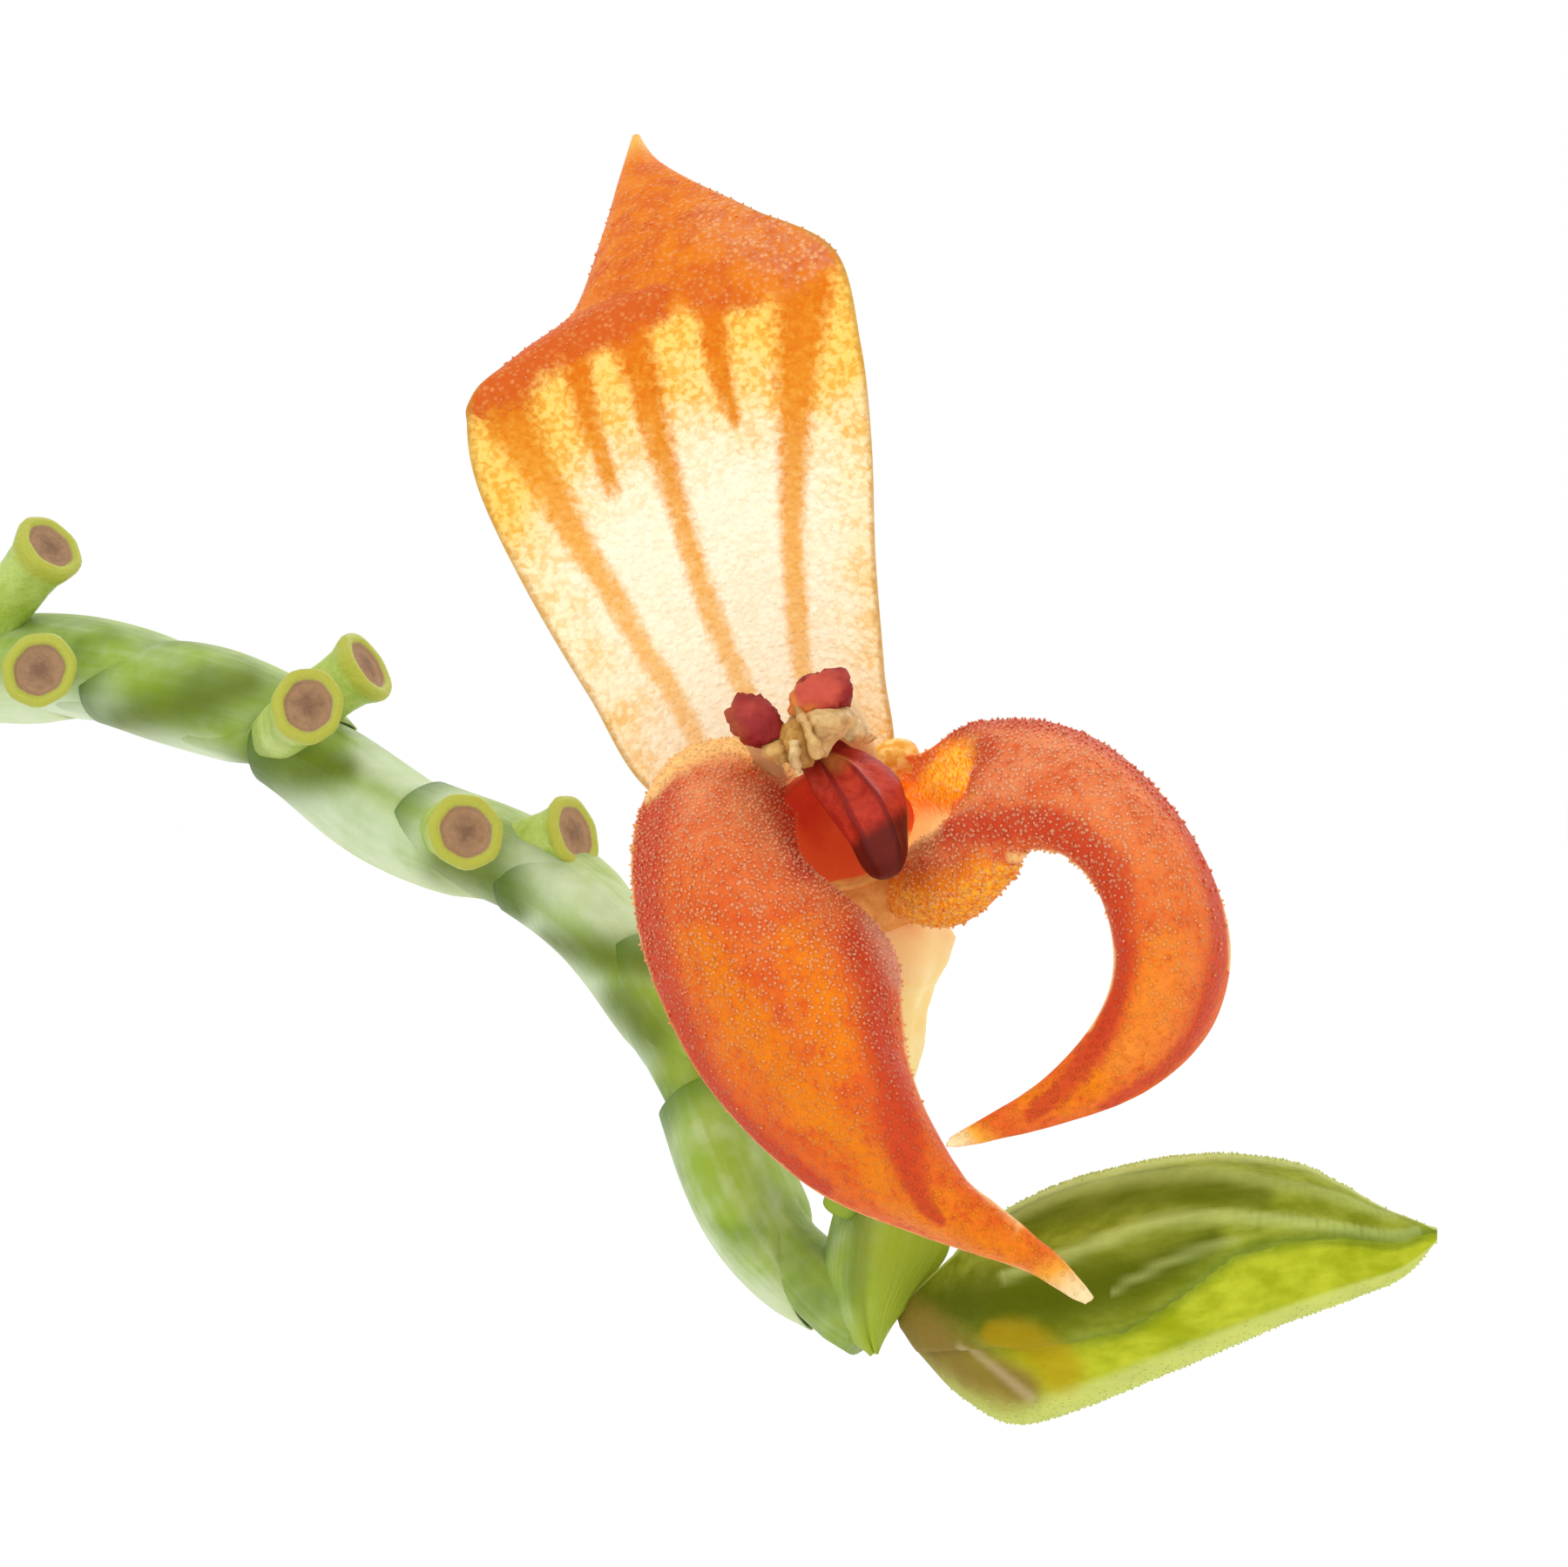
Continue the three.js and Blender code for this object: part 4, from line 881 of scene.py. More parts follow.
def bowl(centre, radii, depth, steps, around):
    """A thick-walled bowl that opens towards the camera: outside first, then over the rim and inside."""
    t = np.linspace(0.02, 1, steps)
    inside = t > RIM_AT
    climb = np.clip(t / RIM_AT, 0, 1) * math.pi / 2
    swing = np.where(inside, mix(1.0, 0.03, ease(RIM_AT, 1, t)), np.sin(climb))
    behind = np.where(inside, depth * (1 - swing**2) - 0.1, mix(depth + 0.75, 0.0, 1 - np.cos(climb)))
    angle = circle(around)
    rows = np.empty((steps, around, 3))
    wall = np.where(inside, 0.9, 1.0)[:, None]
    wave = 1 + 0.05 * np.sin(3 * angle + 1)[None] + 0.03 * np.sin(5 * angle)[None]
    rows[..., 0] = centre[0] + radii[0] * (swing[:, None] * wall * wave) * np.cos(angle)
    rows[..., 1] = centre[1] + radii[1] * (swing[:, None] * wall * wave) * np.sin(angle)
    rows[..., 2] = centre[2] + behind[:, None] + 0.25 * np.sin(angle)[None] * swing[:, None]
    low = ease(0.2, 0.9, -np.sin(angle - 0.5))[None]
    marks = {
        "inside": ease(0.0, 0.1, t[:, None] - 0.36 - 0.2 * low),
        "low": np.broadcast_to(0.5 - 0.5 * np.sin(angle)[None], (steps, around)),
    }
    return skin(seen(rows), None, marks)


def chin(steps, around):
    """The lump under the cup's lower rim, where both sepals and the ovary join."""
    t = np.linspace(0.02, 0.98, steps)[:, None]
    angle = circle(around)[None]
    swell = np.sin(t * math.pi) ** 0.6
    rows = np.stack([
        mix(0.4, 2.6, t) + 0 * angle,
        mix(-2.05, -1.95, t) + 0.6 * swell * np.sin(angle),
        0.95 - 0.75 * swell * np.cos(angle) + 0 * t,
    ], -1)
    crumple = 0.12 * bumpy(rows, 1.4, 6.0) + 0.05 * bumpy(rows, 4.0, 2.0)
    rows[..., 2] -= crumple
    rows[..., 1] += 0.6 * crumple
    return skin(seen(rows))


LOBE_LINE = [(1.4, -0.1, 1.3), (1.6, 0.28, 1.2), (1.9, 0.42, 1.1), (2.2, 0.25, 1.0)]
side_lobe = rod(
    smooth_line(seen(LOBE_LINE))(np.linspace(0, 1, 30)),
    [0.2, 0.32, 0.34, 0.3, 0.12],
    32,
    shape=lambda t, a: 1 + 0.08 * np.sin(3 * a + 5 * t),
    marks={"gold": lambda t, a, rings: 1 + 0 * t},
)
cup_bowl = bowl((0.95, -0.72, 0.35), (1.12, 1.05), 1.3, 44, 96)
cup = piece("sepal_cup", [cup_bowl, chin(40, 64), side_lobe], CUP_SKIN)
belongs(cup, "orange", "lateral_sepals")

# %% Ovary and pedicel
STALK = [
    (1.75, -2.2, 1.4), (1.77, -2.8, 1.4), (1.78, -3.4, 1.7), (1.74, -4.2, 2.1), (1.56, -5.2, 2.6),
    (1.2, -6.3, 3.1), (0.95, -6.95, 3.5),
]
OVARY_SKIN, pen = begin("ovary_skin")
where = pen.place()
fine, coarse = pen.grain(where, 5, 4, 0.6), pen.grain(where, 1.4)
colour = (coarse * 0.7 + fine * 0.5).step(0.4, 0.9).tint(ink("#F6DA8A"), ink("#FBEAB4"))
colour = (pen.mark("foot") * 0.6).tint(colour, ink("#DDE28A"))
colour = (pen.mark("neck") * (0.3 + fine * 0.6)).tint(colour, ink("#F2C88C"))
colour = pen.mark("green").tint(colour, ink("#8EA63A"))
settle(pen, colour, 0.4 + fine * 0.15, fine + coarse, 0.02, glow=0.1, Specular_IOR_Level=0.1)


def six_ribs(t, a):
    return 1 + 0.06 * np.cos(6 * a + 0.6) * (1 - ease(0.5, 0.8, t)) + 0.02 * np.sin(23 * t)


stalk = rod(
    smooth_line(seen(STALK))(np.linspace(0, 1, 70)),
    [0.8, 1.0, 0.9, 0.66, 0.55, 0.56, 0.46, 0.4, 0.37, 0.36, 0.34],
    48,
    shape=six_ribs,
    marks={
        "neck": lambda t, a, rings: 1 - ease(0.05, 0.3, t),
        "foot": lambda t, a, rings: ease(0.45, 0.9, t),
        "green": lambda t, a, rings: ease(0.74, 0.86, t),
    },
)
ovary = piece("ovary", [stalk], OVARY_SKIN)
belongs(ovary, "stalk", "flower_stalk")

# %% [markdown]
# ## The throat
# The petals, column and lip are the flower's smallest parts, less than 2 mm long. The petals are
# maroon clubs with crumpled heads on cream claws. The column is a pale post between them, behind thin
# crumpled folds. The lip is a dark tongue with keels and a knob, hinged in the cup. Rods with noise on
# their radius make the clubs and the post; the folds and the lip are blades.

# %% Petals
PETAL_SKIN, pen = begin("petal_skin")
where = pen.place()
fine, coarse = pen.grain(where, 8, 4, 0.65), pen.grain(where, 2.6)
colour = (coarse * 0.8 + pen.mark("lit") * 0.7).step(0.35, 1.1).tint(ink("#8E2022"), ink("#CE5440"))
colour = (pen.mark("side") * (0.5 + fine * 0.5)).tint(colour, ink("#EE9440"))
colour = (pen.mark("claw") + (fine - 0.5) * 0.3).step(0.35, 0.65).tint(colour, ink("#E9CB92"))
settle(pen, colour, 0.42 + fine * 0.2, fine + coarse, 0.03, glow=0.03, Specular_IOR_Level=0.2)

PETALS = {
    "left": {
        "line": [(-0.1, 0.0, 1.2), (-0.3, 0.45, 0.3), (-0.46, 0.92, -0.8), (-0.52, 1.15, -1.4)],
        "radii": [0.22, 0.22, 0.24, 0.3, 0.44, 0.5, 0.46], "flat": 0.9, "seed": 1.5, "lit": 0.2, "side": 0.2,
    },
    "right": {
        "line": [(1.35, 0.25, 1.2), (1.12, 0.8, 0.2), (0.7, 1.32, -0.9), (0.52, 1.58, -1.5)],
        "radii": [0.24, 0.26, 0.3, 0.38, 0.46, 0.52, 0.5], "flat": 0.2, "seed": 6.5, "lit": 0.8, "side": 0.9,
    },
}


def on_rod(t, a):
    """Where the noise on a rod is read: round a circle, and four along."""
    return np.stack([np.cos(a), np.sin(a), t * 4], -1)


def domed(t, share):
    """Closes a rod in a dome over this share of its length."""
    return np.sqrt(np.clip((1.001 - t) / share, 0, 1)) ** 0.5


def petal(line, radii, flat, seed, lit, side):
    def crumpled(t, a):
        noisy = 0.24 * bumpy(on_rod(t, a), 1.6, seed) + 0.2 * bumpy(on_rod(t, a), 4.5, seed + 3)
        oval = np.sqrt(np.cos(a - flat) ** 2 + (0.72 * np.sin(a - flat)) ** 2)
        return (1 + noisy * ease(0.45, 0.8, t)) * oval * domed(t, 0.12)

    return rod(
        smooth_line(seen(line))(np.linspace(0, 1, 60)),
        radii,
        40,
        shape=crumpled,
        marks={
            "claw": lambda t, a, rings: 1 - ease(0.62, 0.72, t),
            "lit": lambda t, a, rings: lit * ease(0.85, 1, t),
            "side": lambda t, a, rings: side * ease(0.3, 0.9, -np.cos(a)) * (1 - ease(0.93, 0.99, t)),
        },
    )


for name, values in PETALS.items():
    made = piece(f"petal_{name}", [petal(**values)], PETAL_SKIN)
    belongs(made, "dark_red", f"petal_{name}")

# %% Column
COLUMN_SKIN, pen = begin("column_skin")
where = pen.place()
fine, coarse = pen.grain(where, 7, 4, 0.65), pen.grain(where, 2.4, twist=0.6)
colour = (coarse * 0.8 + fine * 0.5).step(0.4, 0.9).tint(ink("#B87E30"), ink("#E2B25C"))
colour = (pen.mark("pale") * (0.35 + fine * 0.5)).tint(colour, ink("#F2DBA6"))
colour = (coarse.step(0.48, 0.66) * 0.6).tint(colour, ink("#8C5626"))
colour = (pen.mark("rim").step(0.8, 1.0) * 0.5).tint(colour, ink("#EBCF92"))
# The dark brown at the column's lower end is painted shade.
colour = (pen.mark("foot") * (0.6 + fine * 0.6)).tint(colour, ink("#8C4A2C"))
settle(pen, colour, 0.35 + fine * 0.2, fine + coarse * 2, 0.05, glow=0.04, Specular_IOR_Level=0.15)
COLUMN = [(0.6, 0.15, 1.2), (0.48, 0.42, 0.2), (0.34, 0.62, -0.8), (0.3, 0.78, -1.5)]


def winged(t, a):
    wings = 1 + 0.5 * ease(0.25, 0.6, t) * np.abs(np.cos(a - 0.5)) ** 6
    return wings * (1 + 0.14 * bumpy(on_rod(t, a), 2.2, 9.0)) * domed(t, 0.1)


post = rod(
    smooth_line(seen(COLUMN))(np.linspace(0, 1, 60)),
    [0.26, 0.26, 0.26, 0.28, 0.3, 0.32, 0.26],
    56,
    shape=winged,
    # foot: painted shade at the column's lower end.
    marks={"foot": lambda t, a, rings: 1 - ease(-0.02, 0.25, as_seen(rings)[..., 1] - 0.42)},
)
column = piece("column", [post], COLUMN_SKIN)
belongs(column, "cream", "column")

# %% Folds in front of the column
FOLDS = [
    {"outer": [(0.3, 1.3, -1.0), (0.26, 1.0, -1.3), (0.42, 0.72, -1.45), (0.6, 0.46, -1.4)],
     "middle": [(0.68, 1.3, -1.3), (0.7, 1.08, -1.75), (0.62, 0.78, -1.75), (0.64, 0.45, -1.5)],
     "inner": [(1.06, 1.28, -0.9), (1.16, 1.05, -1.1), (0.9, 0.74, -1.3), (0.68, 0.45, -1.45)], "pale": 0.7},
    {"outer": [(0.14, 1.26, -1.2), (0.24, 1.02, -1.5), (0.38, 0.72, -1.75), (0.52, 0.4, -1.7)],
     "middle": [(0.2, 1.3, -1.4), (0.33, 1.02, -1.8), (0.47, 0.74, -2.0), (0.58, 0.42, -1.85)],
     "inner": [(0.28, 1.28, -1.2), (0.42, 1.04, -1.5), (0.54, 0.76, -1.7), (0.64, 0.45, -1.6)], "pale": 0.5},
    {"outer": [(0.08, 1.12, -0.9), (-0.06, 0.84, -1.1), (-0.02, 0.5, -1.3), (0.16, 0.24, -1.3)],
     "middle": [(0.2, 1.1, -1.1), (0.16, 0.82, -1.5), (0.2, 0.5, -1.6), (0.3, 0.26, -1.5)],
     "inner": [(0.34, 1.08, -1.0), (0.4, 0.8, -1.3), (0.42, 0.5, -1.4), (0.46, 0.28, -1.3)], "pale": 0.1},
    {"outer": [(-0.4, 0.72, -0.9), (-0.3, 0.5, -1.2), (-0.1, 0.3, -1.3)],
     "middle": [(-0.2, 0.78, -1.1), (-0.14, 0.56, -1.5), (0.0, 0.34, -1.5)],
     "inner": [(0.02, 0.74, -1.0), (0.06, 0.56, -1.3), (0.12, 0.36, -1.3)], "pale": 0.3},
    {"outer": [(0.12, 0.66, -1.5), (0.1, 0.45, -1.7), (0.16, 0.18, -1.6)],
     "middle": [(0.18, 0.68, -1.7), (0.17, 0.45, -1.9), (0.22, 0.16, -1.75)],
     "inner": [(0.25, 0.66, -1.6), (0.26, 0.46, -1.7), (0.28, 0.18, -1.6)], "pale": 1.0},
    {"outer": [(1.0, 1.12, -0.9), (1.3, 0.98, -0.5), (1.56, 0.76, 0.0)],
     "middle": [(0.98, 0.95, -1.0), (1.24, 0.84, -0.7), (1.46, 0.7, -0.1)],
     "inner": [(0.92, 0.78, -1.0), (1.1, 0.68, -0.7), (1.3, 0.62, -0.1)], "pale": 1.0},
]


def even(millimetres):
    """The same thickness all over a blade."""
    return lambda u, v: millimetres + 0 * u


def fold_relief(u, v, flat):
    return 0.09 * rumpled(flat, u, 1.9, 2.0) + 0.05 * rumpled(flat, u, 5.0, 6.0)


def fold(rows):
    return blade(rows, 36, 24, even(0.07), fold_relief, lambda u, v, flat: {"pale": rows["pale"] + 0 * u})


folds = piece("column_wings", [fold(rows) for rows in FOLDS], COLUMN_SKIN)
belongs(folds, "cream", "column")

# %% Lip
LIP = {
    "outer": [(0.3, 0.38, -0.4), (0.42, 0.0, -0.8), (0.72, -0.42, -1.1), (1.05, -0.84, -1.4),
              (1.28, -1.18, -1.45), (1.5, -1.4, -1.2)],
    "middle": [(0.62, 0.45, -0.3), (0.92, 0.12, -1.0), (1.26, -0.25, -1.6), (1.48, -0.66, -1.85),
               (1.6, -1.04, -1.8), (1.64, -1.38, -1.3)],
    "inner": [(0.86, 0.7, -0.6), (1.4, 0.45, -0.8), (1.84, 0.08, -1.1), (1.96, -0.38, -1.3),
              (1.93, -0.9, -1.4), (1.82, -1.3, -1.2)],
}
LIP_SKIN, pen = begin("lip_skin")
where = pen.place()
fine, coarse = pen.grain(where, 7, 4, 0.6), pen.grain(where, 2.4)
keel = (pen.mark("keel") + (fine - 0.5) * 0.4).step(0.25, 0.75)
colour = (coarse * 0.8 + fine * 0.4).step(0.35, 0.85).tint(ink("#9C2218"), ink("#C8402A"))
colour = (keel * 0.75).tint(colour, ink("#7A1A18"))
colour = (pen.mark("rim").step(0.8, 0.98) * 0.5).tint(colour, ink("#8E2418"))
colour = (pen.mark("knob") * 0.85).tint(colour, ink("#4E1712"))
# The peach streak near the top of the lip is a painted highlight.
colour = (pen.mark("peach") * (0.6 + fine * 0.6)).tint(colour, ink("#F29A50"))
settle(pen, colour, 0.4 + fine * 0.15, fine + coarse, 0.03, glow=0.03, Specular_IOR_Level=0.12)


def two_keels(v, width):
    return sum(np.exp(-(((v - at) / width) ** 2)) for at in (-0.3, 0.25))


def lip_marks(u, v, flat):
    keels = two_keels(v, 0.07) * ease(0.06, 0.2, u)
    # The peach mark is a painted highlight down the top of the lip.
    peach = (1 - ease(0.12, 0.3, u)) * (1 - ease(0.15, 0.45, np.abs(v - 0.1)))
    return {"keel": np.clip(keels, 0, 1), "knob": ease(0.58, 0.7, u + 0.04 * v), "peach": peach}


def lip_relief(u, v, flat):
    keels = two_keels(v, 0.12) * ease(0.06, 0.25, u)
    knob = np.exp(-(((u - 0.87) / 0.12) ** 2)) * np.exp(-((v / 0.8) ** 2))
    crumple = 0.06 * rumpled(flat, u, 2.4, 3.0) * (1 - v**4)
    return 0.12 * keels * (1 - ease(0.7, 0.85, u)) + 0.22 * knob + crumple


lip = piece("lip", [blade(LIP, 80, 48, even(0.34), lip_relief, lip_marks, roll=2)], LIP_SKIN)
belongs(lip, "dark_red", "lip")

# %% [markdown]
# ## The spike
# The spike rises from the foot of one leaf, arches over and zigzags at its end: a new flower each time
# from between two bracts. A curve with a bevel would make the stem alone. Here the same line as the
# solid's is measured along its length, and it gives a place and three directions at any distance, so
# that the stem, each bract and each stub spring from it.

# %% The spike's line
UPWARDS = np.array([0, 0, 1.0])
TUFT = 10
POT_RADIUS = 45.5
BARK_SIDE = 67
BARK_DOME = 3


def bark_height(x, y):
    """The top of the solid fill, which is a low dome."""
    return BARK_SIDE + BARK_DOME * (1 - (x * x + y * y) / POT_RADIUS**2)


SHOOTS = []
for i in range(TUFT):
    out = math.sqrt((i + 0.6) / TUFT)
    angle = i * math.pi * (3 - math.sqrt(5)) + 1.6
    SHOOTS.append({
        "angle": angle, "x": 15 * out * math.cos(angle), "y": 15 * out * math.sin(angle),
        "stem": 22 * (1.1 - 0.25 * out), "leaf": 98 * (1.05 - 0.12 * ((i * 7) % 5) / 4),
        "width": 19 * (0.86 + 0.14 * ((i * 3) % 4) / 3), "lean": 2 + 15 * out, "bend": 9 + 26 * out,
    })
host = SHOOTS[0]
foot = bark_height(host["x"], host["y"]) + host["stem"] - 6
SPIKE_POINTS = np.vstack([
    [(host["x"] + 2.9, host["y"], foot), (host["x"] + 3.6, host["y"] + 0.4, foot + 9)],
    [
        (6, 3.5, 113), (10, 8, 136), (16.5, 12.5, 160), (26.5, 16.5, 182),
        (39.5, 19.5, 198), (54, 20, 206.3), (66, 18, 208.6),
    ],
    seen([
        (-13.71, 2.11, 15.0), (-12.0, 1.86, 14.0), (-10.0, 1.36, 12.5), (-8.0, 0.54, 11.0),
        (-6.43, -0.36, 10.0), (-4.71, -1.21, 8.5), (-3.0, -2.31, 7.2), (-2.07, -3.57, 6.4),
        (-1.29, -5.36, 5.6), (-0.29, -7.14, 4.8), (0.71, -8.29, 4.2), (1.43, -8.89, 3.8),
    ]),
])
dense = smooth_line(SPIKE_POINTS)(np.linspace(0, 1, 6001))
walked = np.concatenate([[0], np.cumsum(np.linalg.norm(np.diff(dense, axis=0), axis=1))])
SPIKE_LENGTH = walked[-1]


def spike_at(back):
    """Point, onward, up and front directions at a distance back from the spike's tip."""
    far = np.clip(SPIKE_LENGTH - np.asarray(back, float), 0, SPIKE_LENGTH)

    def point(d):
        return np.stack([np.interp(np.clip(d, 0, SPIKE_LENGTH), walked, dense[:, k]) for k in range(3)], -1)

    onward = unit(point(far + 0.08) - point(far - 0.08))
    side = unit(np.cross(onward, (0.0, -1.0, 0.0)))
    return point(far), onward, -side, np.cross(side, onward)


print("spike", round(float(SPIKE_LENGTH), 1), "mm long")

# %% Spike, bract and stub shapes
BRACTS = [
    (5.2, 4.0, -1, 0.92, 1.3), (8.0, 3.0, 1, 0.74, 0.8), (10.8, 4.2, -1, 0.84, 0.86),
    (13.2, 4.2, 1, 0.86, 0.9), (16.6, 4.8, -1, 1.0, 1.0), (20.4, 4.6, 1, 1.1, 1.0),
]
LAST_BRACT = {
    "outer": [(0.98, -6.2, 4.4), (0.86, -6.9, 4.2), (0.68, -7.6, 4.0), (0.7, -8.35, 3.8),
              (0.96, -9.02, 3.6), (1.42, -9.36, 3.5)],
    "middle": [(1.7, -6.1, 3.4), (1.6, -6.8, 3.1), (1.4, -7.5, 2.9), (1.3, -8.25, 2.9), (1.34, -8.9, 3.1),
               (1.47, -9.35, 3.4)],
    "inner": [(2.3, -6.3, 3.9), (2.7, -7.0, 3.7), (2.7, -7.65, 3.5), (2.25, -8.3, 3.4), (1.8, -8.85, 3.4),
              (1.52, -9.33, 3.5)],
}
RACHIS = 46
NODE_STEP = 2.9
back = 23.4
while back < RACHIS:
    BRACTS.append((back, 4.8, -1 if len(BRACTS) % 2 else 1, 1.0, 1.0))
    back += NODE_STEP
BRACTS += [(SPIKE_LENGTH * share, 9, 1, 1.3, 1.1) for share in (0.42, 0.62, 0.82)]

STUBS = [
    (12.6, seen((-5.21, -0.79, 6.0))), (11.3, seen((-3.4, -0.79, 7.5))), (16.6, seen((-7.79, 1.29, 8.0))),
    (16.8, seen((-6.79, 1.97, 10.5))), (22.0, seen((-12.21, 1.86, 10.5))), (23.5, seen((-12.0, 3.93, 13.0))),
]
back = 28
while back < RACHIS:
    for turn in (1, -1):
        root = back + (0 if turn > 0 else 1.4)
        at, onward, up, front = spike_at(root)
        STUBS.append((root, at + front * 2.4 + onward * 1.6 + up * turn))
    back += NODE_STEP * 1.6

STUB_ROWS = [
    (0.1, 0.52, 0, 0), (0.4, 0.5, 0, 0), (0.7, 0.5, 0, 0), (0.82, 0.53, 0.1, 0), (0.9, 0.61, 0.6, 0),
    (0.95, 0.645, 1, 0), (0.985, 0.63, 1, 0), (1.0, 0.57, 1, 0), (1.0, 0.5, 0.9, 0.1),
    (0.985, 0.44, 0.5, 0.5), (0.965, 0.41, 0, 1), (0.97, 0.3, 0, 1), (0.985, 0.16, 0, 1),
    (0.988, 0.04, 0, 1),
]
DUSK = [
    [(-10.9, 1.05, 0.3), (-9.9, 1.3, 0.42), (-8.8, 1.65, 0.34)],
    [(-8.6, 0.35, 0.4), (-8.1, 0.2, 0.46), (-7.2, 0.25, 0.22)],
    [(-5.6, -1.35, 0.3), (-4.8, -1.65, 0.36), (-4.4, -2.1, 0.24)],
    [(-3.9, -2.6, 0.24), (-3.1, -2.8, 0.32), (-2.3, -2.9, 0.3)],
    [(-2.7, -3.6, 0.36), (-2.2, -4.1, 0.36)],
]
SILVER = [
    [(-12.2, 1.2, 0.3), (-11.2, 1.25, 0.36)],
    [(-10.3, 0.55, 0.3), (-9.2, 0.3, 0.3)],
    [(-8.1, -0.35, 0.34), (-7.2, -0.4, 0.42), (-6.2, -0.9, 0.34)],
    [(-6.9, 0.4, 0.26), (-5.9, -0.05, 0.3), (-5.2, -0.3, 0.2)],
    [(-4.3, -1.3, 0.36), (-3.4, -1.8, 0.42), (-2.5, -2.3, 0.4)],
    [(-4.2, -2.4, 0.3), (-3.2, -3.4, 0.3), (-2.4, -4.6, 0.3)],
]


def spike_marks(rings):
    """Where the spike is in its own shade, and where its papery skin shines silver."""
    flat = as_seen(rings)
    return {"dusk": all_drawn(flat, DUSK, 0.95), "silver": all_drawn(flat, SILVER, 0.95)}


def bract(back, length, turn, lift, broad):
    """A keeled bract: outside from its foot to its slanting mouth, over the thin lip, and back inside."""
    rows = smooth_line([
        (0.78, -0.7, 0.72), (lift, -0.74, 0.9 * broad), (lift * 1.06, -0.6, 0.94 * broad),
        (lift * 0.98, -0.3, 0.76), (lift * 0.8, 0.12, 0.46),
    ])
    t = np.concatenate([np.linspace(0, 1, 30), np.linspace(0.995, 0.35, 14)])
    inside = np.concatenate([np.zeros(30), np.ones(14)])
    shape = rows(np.interp(t, [0, 0.3, 0.62, 0.86, 1], [0, 0.25, 0.5, 0.75, 1]))
    at, onward, up, front = spike_at(back - t * length)
    outward = up * 0.93 * turn - front * 0.37
    flank = unit(np.cross(outward, onward))
    angle = circle(48)
    keel, mouth, wide = (shape[:, k, None] for k in range(3))
    wall = 1 - 0.1 * inside[:, None]
    c, s = np.cos(angle)[None], np.sin(angle)[None]
    grown = ease(0.1, 0.5, t)[:, None]
    crest = 1 + 0.1 * np.clip(c, 0, 1) ** 12 * grown * (1 - ease(0.75, 1, t))[:, None]
    waist = 1 - 0.1 * np.clip(np.abs(s) - 0.5, 0, 1) * grown
    along_out = (keel + mouth) / 2 + (keel - mouth) / 2 * c * wall * crest
    along_flank = wide * s * (1 - 0.3 * c) * wall * waist
    slant = (0.4 * np.clip(c, 0, 1) ** 2 - 0.4 * np.clip(-c, 0, 1)) * ease(0.55, 1, t)[:, None]
    rings = at[:, None] + outward[:, None] * along_out[..., None] + flank[:, None] * along_flank[..., None]
    rings = rings + onward[:, None] * slant[..., None]
    full = np.ones_like(angle)[None]
    height = (rings - at[:, None]) @ UPWARDS
    return skin(rings, None, {
        # inner: the inside of the bract, which is painted in shade.
        "inner": inside[:, None] * full,
        "crest": np.clip(c, 0, 1) ** 8 * grown,
        "mouth": ease(0.86, 1.0, t)[:, None] * full,
        # foot: painted shadow where each bract springs from the stem.
        "foot": (1 - ease(0.0, 0.22, t))[:, None] * full,
        "lower": ease(0.1, -0.9, height),
        **spike_marks(rings),
    })


def stub(root, end):
    """A dropped flower's stalk: a short post with a raised ring and the sunken scar inside it.
    Its rows are share of its length, radius, and the marks of the ring and the scar."""
    foot = spike_at(root)[0]
    reach = end - foot
    onward = unit(reach)
    side = unit(np.cross(onward, (0.0, 0.0, 1.0)))
    up = np.cross(side, onward)
    t, radius, ring, scar = np.array(STUB_ROWS).T
    angle = circle(32)
    wobble = 1 + 0.04 * np.sin(2 * angle + root)[None] + 0.02 * np.sin(7 * angle)[None]
    rings = hoops(foot + reach * t[:, None], side[None], up[None], radius[:, None] * wobble, angle)
    painted = {"ring": ring, "scar": scar, "middle": (1 - radius / 0.4).clip(0, 1)}
    return skin(rings, None, {name: value[:, None] + 0 * wobble for name, value in painted.items()})


print("spike with", len(BRACTS) + 1, "bracts and", len(STUBS), "stubs")


